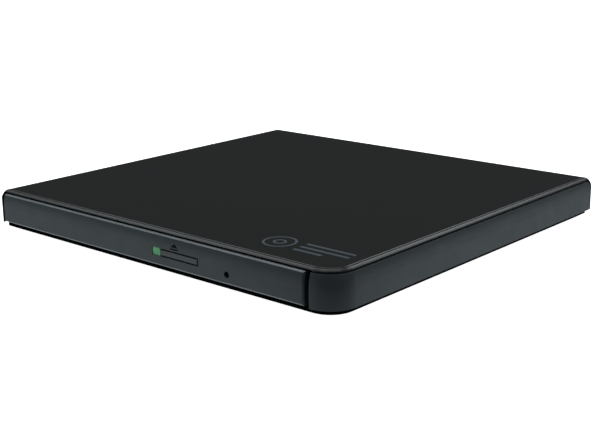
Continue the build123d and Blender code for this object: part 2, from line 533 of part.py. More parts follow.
def eject_button():
    x0, x1 = WINDOW_RIGHT + BUTTON_GAP, SLOT_RIGHT - BUTTON_RIGHT_GAP
    z0, z1 = SLOT_FOOT + BUTTON_GAP, SLOT_TOP - BUTTON_TOP_GAP
    cap = block(x0, x1, FRONT + BUTTON_RECESS, BEZEL_BACK + 0.3, z0, z1)
    cap = chamfer(cap.faces().sort_by(Axis.Y)[0].edges(), BUTTON_BEVEL)
    flange_y = (BEZEL_BACK + BUTTON_PLAY, BEZEL_BACK + 0.8)
    flange_z = (SLOT_FOOT - BUTTON_FLANGE, SLOT_TOP + BUTTON_FLANGE)
    flange = block(x0, x1, *flange_y, *flange_z)
    stem = block(*BUTTON_STEM_X, BEZEL_BACK + 0.5, BUTTON_STEM_END, *BUTTON_STEM_Z)
    return cap + flange + stem


def light_pipe():
    front = FRONT + WINDOW_RECESS
    window = block(SLOT_LEFT, WINDOW_RIGHT, front, BEZEL_BACK + 0.8, SLOT_FOOT, SLOT_TOP)
    stem_z = (SLOT_FOOT + FIT, PIPE_STEM_TOP)
    return window + block(*PIPE_STEM_X, BEZEL_BACK + 0.5, PIPE_STEM_END, *stem_z)


# ---- Tray
def traverse_opening(z0, z1):
    """The opening in the tray for the spindle and the pickup."""
    half = PICKUP_SLOT_HALF
    slot = rounded(0, PICKUP_SLOT_END, -half, half, z0, z1, PICKUP_SLOT_CORNER)
    return on_traverse(rod(0, 0, HUB_OPENING_R, z0, z1) + slot)


def tray_interior(z0, z1, gap=0.0):
    """The room inside the tray's skirts."""
    wall = SKIRT + gap
    return block(TRAY_LEFT + wall, TRAY_RIGHT - wall, TRAY_FRONT + wall, TRAY_BACK - wall, z0, z1)


def disc_tray():
    body = block(TRAY_LEFT, TRAY_RIGHT, TRAY_FRONT, TRAY_BACK, PLATE_TOP, TRAY_TOP)
    body -= tray_interior(PLATE_TOP - OVER, TRAY_UNDERSIDE)
    body -= rod(SPINDLE_X, SPINDLE_Y, RECESS_R, RECESS_FLOOR, HEIGHT)
    body -= rod(SPINDLE_X, SPINDLE_Y, SMALL_RECESS_R, SMALL_RECESS_FLOOR, HEIGHT)
    body -= traverse_opening(TRAY_UNDERSIDE - OVER, HEIGHT)
    window_y = (TRAY_FRONT - OVER, TRAY_FRONT + CONTROL_WINDOW_DEPTH)
    body -= block(*CONTROL_WINDOW_X, *window_y, *CONTROL_WINDOW_Z)
    hole_end = TRAY_FRONT + SKIRT + 0.2
    body -= rod_y(EJECT_HOLE_X, TRAY_FRONT - OVER, hole_end, EJECT_HOLE_Z, EJECT_HOLE_R + 0.2)
    body -= block(LANE_LEFT, LANE_RIGHT, TRAY_BACK - 2, TRAY_BACK + OVER, 0, LANE_TOP)
    body -= rod_y(PUSH_ROD_X, TRAY_BACK - 2, TRAY_BACK + OVER, PUSH_ROD_Z, PUSH_ROD_R + RUNNING)
    for side, edge in ((-1, TRAY_LEFT), (1, TRAY_RIGHT)):
        x0, x1 = sorted((edge, edge + side * TONGUE_REACH))
        body += block(x0, x1, -TONGUE_HALF, TONGUE_HALF, TONGUE_FOOT, TONGUE_TOP)
    for x, y in CHASSIS_SPOTS:
        body += on_traverse(rod(x, y, CHASSIS_POST_R, GROMMET_TOP, TRAY_UNDERSIDE))
        body -= on_traverse(rod(x, y, CHASSIS_PILOT_R, GROMMET_TOP - 0.4, CHASSIS_PILOT_TOP))
    body += rod(*LATCH_PIVOT, LATCH_POST_R, LATCH_POST_FOOT, TRAY_UNDERSIDE)
    for x, y in PLATE_SCREW_SPOTS:
        body += rod(x, y, PLATE_BOSS_R, PLATE_TOP, TRAY_UNDERSIDE)
        body -= rod(x, y, PLATE_PILOT_R, PLATE_TOP - OVER, PLATE_PILOT_TOP)
    for y in FINGER_SPOTS:
        body -= rod(TRAY_LEFT + 7, y, FINGER_R, RECESS_FLOOR, HEIGHT)
    return body


def flex_slot(z0, z1):
    """The slot that the main cable rises through."""
    x = (FLEX_X[0] - FLEX_SLOT_SIDE, FLEX_X[1] + FLEX_SLOT_SIDE)
    return block(*x, FLEX_END - FLEX_SLOT_HALF, FLEX_END + FLEX_SLOT_HALF, z0, z1)


def tray_bottom_plate():
    x = (TRAY_LEFT + PLATE_EDGE, LANE_LEFT - 0.2)
    sheet = block(*x, TRAY_FRONT + PLATE_EDGE, TRAY_BACK - 0.5, PLATE_FOOT, PLATE_TOP)
    for x, y in PLATE_SCREW_SPOTS:
        sheet -= rod(x, y, PLATE_SCREW_R + 0.2, PLATE_FOOT - OVER, PLATE_TOP + OVER)
    return sheet - flex_slot(PLATE_FOOT - OVER, PLATE_TOP + OVER)


def bottom_plate_screws():
    screws = []
    for x, y in PLATE_SCREW_SPOTS:
        head = rod(x, y, PLATE_SCREW_HEAD_R, PLATE_FOOT - PLATE_SCREW_HEAD, PLATE_FOOT)
        screws.append(head + rod(x, y, PLATE_SCREW_R, PLATE_FOOT, PLATE_SCREW_TIP))
    return screws


def traverse_cover():
    """The black plate round the spindle and the pickup's slot."""
    z0, z1 = COVER_PLATE_Z[0] - OVER, COVER_PLATE_Z[1] + OVER
    half = COVER_SLOT_HALF
    slot = rounded(*COVER_SLOT_X, -half, half, z0, z1, COVER_SLOT_CORNER)
    return traverse_opening(*COVER_PLATE_Z) - on_traverse(slot + rod(0, 0, COVER_HOLE_R, z0, z1))


# ---- Traverse
def traverse_chassis():
    frame = block(*CHASSIS_X, -CHASSIS_HALF, CHASSIS_HALF, CHASSIS_FOOT, CHASSIS_TOP)
    frame -= block(*WELL_X, -WELL_HALF, WELL_HALF, 0, HEIGHT)
    frame -= rod(0, 0, BEARING_HOLE_R, 0, HEIGHT)
    for x, y in CHASSIS_SPOTS:
        frame -= rod(x, y, CHASSIS_POST_R, 0, HEIGHT)
    half = CHASSIS_SLOT_HALF
    for y in (-CHASSIS_SLOT_Y, CHASSIS_SLOT_Y):
        frame -= rounded(*CHASSIS_SLOT_X, y - half, y + half, 0, HEIGHT, CHASSIS_SLOT_CORNER)
    return on_traverse(frame) & tray_interior(0, HEIGHT, 0.5)


def damper_grommets():
    return [
        on_traverse(washer(x, y, GROMMET_INNER_R, GROMMET_OUTER_R, GROMMET_FOOT, GROMMET_TOP))
        for x, y in CHASSIS_SPOTS
    ]


def chassis_screws():
    screws = []
    for x, y in CHASSIS_SPOTS:
        head = rod(x, y, CHASSIS_SCREW_HEAD_R, PLATE_TOP, GROMMET_FOOT)
        screws.append(on_traverse(head + rod(x, y, CHASSIS_SCREW_R, GROMMET_FOOT, TRAY_UNDERSIDE)))
    return screws


def guide_shafts():
    return [
        on_traverse(rod_x(SHAFT_START, SHAFT_END, y, SHAFT_Z, SHAFT_R))
        for y in (-SHAFT_SPREAD, SHAFT_SPREAD)
    ]


def shaft_holders():
    holders = []
    for y in (-SHAFT_SPREAD, SHAFT_SPREAD):
        for x in (SHAFT_START, SHAFT_END - HOLDER_LENGTH):
            sides = (x, x + HOLDER_LENGTH, y - HOLDER_HALF, y + HOLDER_HALF)
            holder = block(*sides, CHASSIS_TOP, TRAY_UNDERSIDE - FIT)
            bore = rod_x(x - OVER, x + HOLDER_LENGTH + OVER, y, SHAFT_Z, SHAFT_R + PRESSED)
            holders.append(on_traverse(holder - bore))
    return holders


def pickup_sled():
    body = block(SLED_INNER, SLED_OUTER, -SLED_HALF, SLED_HALF, SLED_FOOT, SLED_TOP)
    half = SLED_WELL_HALF
    body -= block(LENS_REST - half, LENS_REST + half, -half, half, SLED_WELL_FLOOR, HEIGHT)
    notch_x = (SLED_OUTER - SLED_NOTCH_LENGTH, SLED_OUTER + OVER)
    body -= block(*notch_x, SLED_NOTCH_START, SLED_HALF + OVER, 0, HEIGHT)
    arm_x = (SLED_INNER, SLED_INNER + SLED_ARM_LENGTH)
    for side in (-1, 1):
        y0, y1 = sorted((side * (SLED_HALF - 1), side * (SHAFT_SPREAD + HOLDER_HALF)))
        body += block(*arm_x, y0, y1, SLED_ARM_FOOT, SLED_TOP)
        y = side * SHAFT_SPREAD
        body += block(*arm_x, y - HOLDER_HALF, y + HOLDER_HALF, CHASSIS_TOP + FIT, SLED_TOP)
        body -= rod_x(SLED_INNER - OVER, arm_x[1] + OVER, y, SHAFT_Z, SHAFT_R + RUNNING)
    follower_z = (SCREW_Z + SCREW_R + RUNNING, SLED_ARM_FOOT + FIT)
    body += block(*FOLLOWER_X, SCREW_Y - FOLLOWER_HALF, SCREW_Y + FOLLOWER_HALF, *follower_z)
    return on_traverse(body)


def pickup_shield():
    """The thin steel cover on the pickup, with a window for the lens."""
    half = SLED_HALF - PICKUP_SHIELD_EDGE
    x = (SLED_INNER + PICKUP_SHIELD_EDGE, SLED_OUTER - SLED_NOTCH_LENGTH - FIT)
    sheet = block(*x, -half, half, SLED_TOP, SLED_TOP + SHIELD_SHEET)
    window = SHIELD_WINDOW_HALF
    sheet -= block(LENS_REST - window, LENS_REST + window, -window, window, 0, HEIGHT)
    return on_traverse(sheet)


def lens_holder():
    x, y = LENS_HOLDER_X, LENS_HOLDER_Y
    body = block(LENS_REST - x, LENS_REST + x, -y, y, *LENS_HOLDER_Z)
    body = chamfer(body.edges().filter_by(Axis.Z), LENS_HOLDER_BEVEL)
    body += rod(LENS_REST, 0, LENS_RING_R, LENS_HOLDER_Z[1], LENS_RING_TOP)
    return on_traverse(body - rod(LENS_REST, 0, LENS_BORE_R, 0, HEIGHT))


def objective_lens():
    dome = Pos(LENS_REST, 0, LENS_DOME_Z) * Sphere(LENS_DOME_R)
    return on_traverse(rod(LENS_REST, 0, LENS_R, LENS_FOOT, HEIGHT) & dome)


def actuator_magnets():
    magnets = []
    for x in (LENS_REST - MAGNET_OFFSET, LENS_REST + MAGNET_OFFSET):
        sides = (x - MAGNET_HALF_X, x + MAGNET_HALF_X, -MAGNET_HALF_Y, MAGNET_HALF_Y)
        magnets.append(on_traverse(block(*sides, SLED_WELL_FLOOR, MAGNET_TOP)))
    return magnets


def lead_screw():
    return on_traverse(rod_x(SCREW_START, SCREW_END, SCREW_Y, SCREW_Z, SCREW_R))


def sled_motor():
    """A round can with flats above and below."""
    can = rod_x(SCREW_END, MOTOR_END, SCREW_Y, SCREW_Z, MOTOR_R)
    room = block(SCREW_END, MOTOR_END, SCREW_Y - MOTOR_R, SCREW_Y + MOTOR_R, CHASSIS_TOP, MOTOR_TOP)
    bore = rod_x(SCREW_END - OVER, MOTOR_BORE_END, SCREW_Y, SCREW_Z, SCREW_R + RUNNING)
    return on_traverse((can & room) - bore)


def motor_bracket():
    """The upright plates that carry the two ends of the lead screw."""
    bore = rod_x(SHAFT_START, SHAFT_END, SCREW_Y, SCREW_Z, SCREW_R + RUNNING)
    return [
        on_traverse(block(x, x + BRACKET_SHEET, *BRACKET_Y, CHASSIS_TOP, BRACKET_TOP) - bore)
        for x in BRACKET_X
    ]


# ---- Spindle
def spindle_bearing():
    sleeve = rod(0, 0, BEARING_FLANGE_R, CHASSIS_FOOT - 0.2, CHASSIS_FOOT)
    sleeve += rod(0, 0, BEARING_R, CHASSIS_FOOT, BEARING_TOP)
    return on_traverse(sleeve - rod(0, 0, SPINDLE_SHAFT_R + RUNNING, CHASSIS_FOOT + 0.2, HEIGHT))


def spindle_stator():
    """The steel star and its nine coils, round the bearing."""
    core = rod(0, 0, STATOR_CORE_R, CHASSIS_TOP, STATOR_Z[1])
    for n in range(STATOR_ARMS):
        arm = block(*STATOR_ARM, -STATOR_ARM_HALF, STATOR_ARM_HALF, *STATOR_ARM_Z)
        arm += block(*STATOR_COIL, -STATOR_COIL_HALF, STATOR_COIL_HALF, *STATOR_Z)
        arm += block(*STATOR_SHOE, -STATOR_SHOE_HALF, STATOR_SHOE_HALF, *STATOR_Z)
        core += Rot(0, 0, 360 / STATOR_ARMS * n) * arm
    return on_traverse(core - rod(0, 0, BEARING_R, 0, HEIGHT))


def spindle_rotor():
    cup = rod(0, 0, CUP_R, CUP_FOOT, TABLE_FOOT) - rod(0, 0, CUP_BORE_R, 0, CUP_ROOF)
    shaft = rod(0, 0, SPINDLE_SHAFT_R, CHASSIS_FOOT + 0.4, TABLE_FOOT)
    table = rod(0, 0, TABLE_R, TABLE_FOOT, TABLE_TOP)
    table -= washer(0, 0, PAD_INNER_R - RUNNING, PAD_OUTER_R + RUNNING, PAD_FOOT, HEIGHT)
    hub = rod(0, 0, HUB_R, TABLE_TOP, HUB_TOP)
    hub = chamfer(hub.edges().sort_by(Axis.Z)[-1], HUB_BEVEL)
    body = cup + shaft + table + hub
    for n in range(PAWLS):
        slot = block(*PAWL_SLOT_X, -PAWL_SLOT_HALF, PAWL_SLOT_HALF, *PAWL_SLOT_Z)
        body -= Rot(0, 0, 360 / PAWLS * n) * slot
    return on_traverse(body)


def turntable_pad():
    return on_traverse(washer(0, 0, PAD_INNER_R, PAD_OUTER_R, PAD_FOOT, DISC_SEAT))


def clamp_pawl(n):
    body = block(PAWL_BACK, PAWL_REACH, -PAWL_HALF, PAWL_HALF, *PAWL_Z)
    nose = body.edges().filter_by(Axis.Y).sort_by(Axis.X)[-2:]
    return on_traverse(Rot(0, 0, 360 / PAWLS * n) * chamfer(nose, PAWL_BEVEL))


def clamp_springs():
    """The small springs behind the pawls, as sleeves of the coil's size."""
    x0, x1 = PAWL_SPRING_X
    coil = rod_x(x0, x1, 0, PAWL_SPRING_Z, PAWL_SPRING_R)
    coil -= rod_x(x0 - OVER, x1 + OVER, 0, PAWL_SPRING_Z, PAWL_SPRING_BORE)
    return [on_traverse(Rot(0, 0, 360 / PAWLS * n) * coil) for n in range(PAWLS)]


# ---- Boards
def tray_board():
    """A board that fills the back and right of the tray, with an arm to the front for the switch."""
    board = plate(TRAY_BOARD_OUTLINE, TRAY_BOARD_FOOT, BOARD_TOP)
    for x, y in PLATE_SCREW_SPOTS:
        board -= rod(x, y, PLATE_BOSS_R + 0.3, 0, HEIGHT)
    return board - flex_slot(0, HEIGHT)


def chips(spots, z):
    """Square chips with a small round mark in one corner."""
    made = []
    for x, y, size, height in spots:
        x0, y0, top = x - size / 2, y - size / 2, z + height
        mark = rod(x0 + CHIP_MARK_INSET, y0 + CHIP_MARK_INSET, CHIP_MARK_R, top - CHIP_MARK_DEPTH, HEIGHT)
        made.append(block(x0, x0 + size, y0, y0 + size, z, top) - mark)
    return made


def tray_board_chips():
    return chips(TRAY_CHIPS, BOARD_TOP)


def usb_board_chips():
    return chips(USB_CHIPS, USB_BOARD_TOP)


def flex_connectors():
    """Sockets for the main cable, the pickup and the spindle motor."""
    margin = PICKUP_CONNECTOR_MARGIN
    pickup_x = (PICKUP_FLEX_X[0] - margin, PICKUP_FLEX_X[1] + margin)
    places = [(*FLEX_X, *FLEX_CONNECTOR_Y), (*pickup_x, *PICKUP_CONNECTOR_Y), SPINDLE_CONNECTOR]
    return [block(*place, BOARD_TOP, BOARD_TOP + CONNECTOR_HEIGHT) for place in places]


def eject_switch():
    body = block(*SWITCH_X, *SWITCH_Y, BOARD_TOP, SWITCH_TOP)
    return body + block(*SWITCH_KNOB_X, SWITCH_KNOB_FRONT, SWITCH_Y[0], *SWITCH_KNOB_Z)


def status_led():
    return block(*LED_X, *LED_Y, BOARD_TOP, BOARD_TOP + LED_HEIGHT)


def usb_board():
    board = block(*USB_BOARD_X, *USB_BOARD_Y, USB_BOARD_FOOT, USB_BOARD_TOP)
    board += block(*USB_ARM_X, *USB_ARM_Y, USB_BOARD_FOOT, USB_BOARD_TOP)
    for x, y in USB_BOARD_POSTS:
        board -= rod(x, y, USB_BOARD_HOLE_R, 0, HEIGHT)
    return board


def usb_socket():
    """A mini USB socket: a steel shell with a contact tongue inside."""
    z0 = USB_BOARD_TOP
    x0, x1 = USB_SOCKET_X - USB_SOCKET_HALF, USB_SOCKET_X + USB_SOCKET_HALF
    shell = block(x0, x1, USB_SOCKET_FRONT, BACK - 0.4, z0, z0 + USB_SOCKET_HEIGHT)
    shell = chamfer(shell.edges().filter_by(Axis.Y).group_by(Axis.Z)[0], USB_SHELL_BEVEL)
    wall = USB_SHELL
    bore_z = (z0 + wall, z0 + USB_SOCKET_HEIGHT - wall)
    bore = block(x0 + wall, x1 - wall, USB_BORE_FRONT, BACK, *bore_z)
    bore = chamfer(bore.edges().filter_by(Axis.Y).group_by(Axis.Z)[0], USB_BORE_BEVEL)
    tongue_x = (USB_SOCKET_X - USB_TONGUE_HALF, USB_SOCKET_X + USB_TONGUE_HALF)
    return shell - bore + block(*tongue_x, *USB_TONGUE_Y, *(z0 + z for z in USB_TONGUE_Z))


def case_flex_connector():
    return block(*CASE_CONNECTOR_X, *FLEX_RUN_Y, USB_BOARD_TOP, USB_BOARD_TOP + CONNECTOR_HEIGHT)


def board_screws():
    screws = []
    for x, y in USB_BOARD_POSTS:
        head = rod(x, y, USB_SCREW_HEAD_R, USB_BOARD_TOP, USB_BOARD_TOP + USB_SCREW_HEAD)
        screws.append(head + rod(x, y, USB_SCREW_R, USB_SCREW_TIP, USB_BOARD_TOP))
    return screws


# ---- Flat cables
def main_flex_cable():
    """A flat cable that lies on the floor, turns back in a hairpin and rises into the tray."""
    x0, x1 = FLEX_X
    y0, y1 = FLEX_RUN_Y
    rise, sheet = FLEX_RISE_X, FLEX_SHEET
    case_plug, tray_plug = USB_BOARD_TOP + FLEX_PLUG_HEIGHT, BOARD_TOP + FLEX_PLUG_HEIGHT
    cable = block(x0, x1, FLEX_BEND, y1, FLEX_LOW, FLEX_LOW + sheet)
    cable += block(x1 - OVER, rise, y0, y1, FLEX_LOW, FLEX_LOW + sheet)
    cable += block(rise, rise + sheet, y0, y1, FLEX_LOW, case_plug)
    cable += block(rise, CASE_CONNECTOR_X[0], y0, y1, case_plug - sheet, case_plug)
    middle = (FLEX_LOW + FLEX_HIGH + sheet) / 2
    bend = rod_x(x0, x1, FLEX_BEND, middle, middle - FLEX_LOW)
    bend -= rod_x(x0 - OVER, x1 + OVER, FLEX_BEND, middle, middle - FLEX_LOW - sheet)
    cable += bend & block(x0, x1, FLEX_BEND - OVER, FLEX_BEND, 0, HEIGHT)
    cable += block(x0, x1, FLEX_BEND, FLEX_END, FLEX_HIGH, FLEX_HIGH + sheet)
    cable += block(x0, x1, FLEX_END - sheet, FLEX_END, FLEX_HIGH, tray_plug)
    cable += block(x0, x1, FLEX_END - sheet, FLEX_CONNECTOR_Y[0], tray_plug - sheet, tray_plug)
    return cable


def pickup_flex_cable():
    """A flat cable from the tray's board, under the chassis, to the underside of the pickup."""
    x0, x1 = PICKUP_FLEX_X
    y0, y1 = PICKUP_FLEX_FRONT, PICKUP_FLEX_BACK
    z, sheet = PICKUP_FLEX_Z, FLEX_SHEET
    plug = BOARD_TOP + PICKUP_PLUG_HEIGHT
    cable = block(x0, x1, y0, y1, z, z + sheet)
    cable += block(x0, x1, y0, y0 + sheet, z, SLED_FOOT)
    cable += block(x0, x1, y1, y1 + sheet, z, plug)
    return cable + block(x0, x1, y1, PICKUP_CONNECTOR_Y[0], plug - sheet, plug)


# ---- Latch and eject spring
def latch_pin():
    return rod(PIN_X, PIN_Y, PIN_R, PIN_PAD_TOP, PIN_TOP)


def latch_lever():
    """Modelled holding the pin, then turned to the released position."""
    px, py = LATCH_PIVOT
    hook_y, hook_x = PIN_Y + PIN_R + 0.3, PIN_X + 0.3
    arm = [(px - 1, py + 1.6), (px + 2.2, py - 1.6), (46.4, hook_y), (hook_x, hook_y),
           (hook_x, hook_y + 1.3), (44.6, hook_y + 1.3)]
    tail_y, tail_x = LATCH_TAIL_Y[0], LATCH_TAIL_X[1]
    tail = [(px, py - 1.6), (tail_x, tail_y), (tail_x, tail_y + 2), (px + 2, py + 1.5)]
    fork_x, fork_y = FORK_X, FORK_Y[0] + 0.2
    stalk = [(px - 1.6, py), (px + 1.6, py), (fork_x[1], fork_y), (fork_x[0], fork_y)]
    body = rod(px, py, LATCH_EYE_R, LATCH_FOOT, LATCH_TOP)
    for shape in (arm, tail, stalk):
        body += plate(shape, LATCH_FOOT, LATCH_TOP)
    body += block(*LATCH_TAIL_X, *LATCH_TAIL_Y, *LATCH_TAIL_Z)
    gap_y = (PLUNGER_Y - FORK_GAP_HALF, PLUNGER_Y + FORK_GAP_HALF)
    body += block(*fork_x, *FORK_Y, *FORK_Z) - block(fork_x[0] - OVER, fork_x[1] + OVER, *gap_y, *FORK_GAP_Z)
    body -= rod(px, py, LATCH_POST_R + RUNNING, 0, HEIGHT)
    return Pos(px, py, 0) * Rot(0, 0, LATCH_SWING) * Pos(-px, -py, 0) * body


def latch_solenoid():
    """An open steel frame with its coil, bored for the plunger."""
    x0, x1 = SOLENOID_X
    inner_x = (x0 + SOLENOID_WALLS[0], x1 - SOLENOID_WALLS[1])
    frame = block(x0, x1, *SOLENOID_Y, *SOLENOID_Z)
    frame -= block(*inner_x, SOLENOID_Y[0] - OVER, SOLENOID_Y[1] + OVER, SOLENOID_BASE_TOP, HEIGHT)
    coil = rod_x(*inner_x, PLUNGER_Y, COIL_Z, COIL_R) & block(*inner_x, *SOLENOID_Y, *SOLENOID_Z)
    return frame + coil - rod_x(SOLENOID_BORE_START, x1 + OVER, PLUNGER_Y, PLUNGER_Z, PLUNGER_R + RUNNING)


def solenoid_plunger():
    """The pulled-in plunger, with the collar that draws the lever's fork."""
    body = rod_x(*PLUNGER_X, PLUNGER_Y, PLUNGER_Z, PLUNGER_R)
    body += rod_x(*PLUNGER_COLLAR_X, PLUNGER_Y, PLUNGER_Z, PLUNGER_COLLAR_R)
    return Pos(-PLUNGER_STROKE, 0, 0) * body


def eject_plunger():
    body = rod_y(PUSH_ROD_X, PUSH_ROD_FRONT, INNER_BACK - FIT, PUSH_ROD_Z, PUSH_ROD_R)
    collar_end = PUSH_COLLAR_Y + PUSH_COLLAR_LENGTH
    return body + rod_y(PUSH_ROD_X, PUSH_COLLAR_Y, collar_end, PUSH_ROD_Z, PUSH_COLLAR_R)


def eject_spring():
    """The coil spring between the holder and the plunger's collar."""
    path = Helix(SPRING_PITCH, SPRING_PITCH * SPRING_TURNS, SPRING_R)
    coil = sweep(Plane(path @ 0, z_dir=path % 0) * Circle(SPRING_WIRE), path=path)
    return Pos(PUSH_ROD_X, PUSH_HOLDER_BACK + 0.3, PUSH_ROD_Z) * Rot(-90, 0, 0) * coil


def plunger_holder():
    """Carries the plunger's front end."""
    x = (PUSH_ROD_X - PUSH_HOLDER_HALF, PUSH_ROD_X + PUSH_HOLDER_HALF)
    y0, y1 = PUSH_HOLDER_FRONT, PUSH_HOLDER_BACK
    body = block(*x, y0, y1, PLATE_TOP, TRAY_UNDERSIDE)
    return body - rod_y(PUSH_ROD_X, y0 - OVER, y1 + OVER, PUSH_ROD_Z, PUSH_ROD_R + RUNNING)


MAKERS = [
    top_cover, bottom_case, rubber_feet, case_screws, upper_shield, tray_bezel, eject_button, light_pipe,
    disc_tray, tray_bottom_plate, bottom_plate_screws, traverse_cover, traverse_chassis, damper_grommets,
    chassis_screws, guide_shafts, shaft_holders, pickup_sled, pickup_shield, lens_holder, objective_lens,
    actuator_magnets, lead_screw, sled_motor, motor_bracket, spindle_bearing, spindle_stator,
    spindle_rotor, turntable_pad, clamp_springs, tray_board, tray_board_chips, flex_connectors,
    eject_switch, status_led, usb_board, usb_socket, usb_board_chips, case_flex_connector, board_screws,
    main_flex_cable, pickup_flex_cable, latch_pin, latch_lever, latch_solenoid, solenoid_plunger,
    eject_plunger, eject_spring, plunger_holder,
]


def main():
    os.makedirs("parts", exist_ok=True)
    for maker in MAKERS:
        made = maker()
        save(maker.__name__, *(made if isinstance(made, list) else [made]))
    for side, edge, name in ((-1, TRAY_LEFT, "left"), (1, TRAY_RIGHT, "right")):
        save(f"{name}_rail", rail(side, edge))
        save(f"{name}_rail_guide", rail_guide(side, edge))
    for n in range(PAWLS):
        save(f"clamp_pawl_{n + 1}", clamp_pawl(n))


main()
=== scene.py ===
import json
import math

import bmesh
import bpy
from mathutils import Matrix, Vector


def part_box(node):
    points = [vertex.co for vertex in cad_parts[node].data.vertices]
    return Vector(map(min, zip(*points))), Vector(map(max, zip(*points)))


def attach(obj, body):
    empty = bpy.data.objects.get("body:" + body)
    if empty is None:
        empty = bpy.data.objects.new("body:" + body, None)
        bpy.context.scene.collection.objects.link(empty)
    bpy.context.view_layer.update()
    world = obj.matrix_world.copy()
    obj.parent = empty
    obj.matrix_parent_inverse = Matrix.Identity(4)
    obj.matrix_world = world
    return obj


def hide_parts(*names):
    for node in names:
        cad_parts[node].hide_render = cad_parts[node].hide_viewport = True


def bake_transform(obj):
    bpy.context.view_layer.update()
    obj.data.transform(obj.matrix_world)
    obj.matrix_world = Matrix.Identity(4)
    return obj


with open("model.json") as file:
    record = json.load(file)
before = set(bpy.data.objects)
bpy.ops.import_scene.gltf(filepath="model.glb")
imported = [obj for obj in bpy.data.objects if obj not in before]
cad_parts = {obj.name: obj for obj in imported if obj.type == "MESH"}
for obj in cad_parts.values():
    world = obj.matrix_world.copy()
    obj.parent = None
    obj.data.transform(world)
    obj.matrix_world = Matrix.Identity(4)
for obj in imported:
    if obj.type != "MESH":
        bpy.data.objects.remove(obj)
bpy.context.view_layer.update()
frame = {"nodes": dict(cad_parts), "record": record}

# The looks of a slim external optical drive. Lengths are metres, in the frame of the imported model.
MM = 0.001
NODES = frame["nodes"]

# Looks: how deep a crevice is darkened with painted shade, and the height of the foot lip that is blackened
# as a painted shadow.
CREVICE_SHADE_DEPTH = 1.0 * MM
LIP_TOP = 2.9 * MM

# Pieces, in millimetres.
SPINDLE = (-3.0, -3.0)
TRAVERSE_ANGLE = 225.0  # the pickup's line of travel, from the x axis
RIBBON_STEP = 1.0 * MM  # longest straight part of a flat cable
COIL_STEPS = 22  # points in one turn of a spring
COIL_CLOSING = 0.045  # how far a spring's last turns close up, as a share of its length
WIRE_SIDES = 8

CABLE_X = (24.0, 38.0)
CABLE_LOW, CABLE_HIGH = 2.95, 3.45
CABLE_BEND, CABLE_DRAWN = -21.0, 64.0  # place of the bend, and the length drawn out by the open tray
CABLE_BACK = 38.0
CABLE_BEND_RISE = 0.2
CABLE_SHEET, FIXED_SHEET = 0.05, 0.08
CABLE_SLOT_Y, CABLE_PLUG_Y, CABLE_PLUG_HEIGHT = 49.95, 51.35, 5.65
RUN_Y, RUN_WIDTH, RUN_HEIGHT, RUN_JOIN = 30.0, 16.0, 2.96, 0.5
RUN_RISE_X, RUN_PLUG_X, RUN_PLUG_HEIGHT = 57.6, 58.95, 5.45

PICKUP_CABLE_X, PICKUP_CABLE_WIDTH = -24.0, 10.0
PICKUP_CABLE_FRONT, PICKUP_CABLE_BACK, PICKUP_CABLE_PLUG_Y = -23.9, 36.9, 37.5
PICKUP_CABLE_HEIGHT, PICKUP_CABLE_TOP, PICKUP_CABLE_PLUG_HEIGHT = 4.05, 4.45, 5.5

PUSH_SPRING_X, PUSH_SPRING_Z, PUSH_SPRING_Y = -54.0, 5.8, (31.0, 44.9)
PUSH_SPRING_TURNS, PUSH_SPRING_R, PUSH_SPRING_WIRE = 9.5, 1.4, 0.2
PAWLS = 3
PAWL_SPRING_REACH, PAWL_SPRING_Z = (3.25, 5.15), 10.15
PAWL_SPRING_TURNS, PAWL_SPRING_R, PAWL_SPRING_WIRE = 5, 0.36, 0.08

SCREW_START, SCREW_END, SCREW_LEAD = 10.5, 57.0, 3.0
SCREW_Y, SCREW_Z = 15.0, 6.0
SCREW_R, SCREW_THREAD, SCREW_JOURNAL_R, SCREW_JOURNAL = 0.8, 0.22, 0.66, 1.5
SCREW_STEP, SCREW_SIDES = 0.125, 20

CASE_TOP = 14.0
INK_SINK, INK_RISE = 0.02, 0.03
MARK_CENTRE = (41.5, -55.5)
MARK_RINGS = ((4.3, 5.0), (1.3, 2.0))
MARK_BARS = ((-52.6, 66.0), (-55.5, 66.0), (-58.4, 59.0))  # y, and the right end
MARK_BAR_LEFT, MARK_BAR_HALF = 49.0, 0.55
RING_SIDES = 56
BEZEL_FACE_Y, SYMBOL_DEPTH, SYMBOL_FILL = -68.75, 0.3, 0.2
SYMBOL_BAR = ((11.05, 8.98), (14.15, 8.98), (14.15, 9.37), (11.05, 9.37))
SYMBOL_TRIANGLE = ((11.1, 9.74), (14.1, 9.74), (12.6, 10.72))


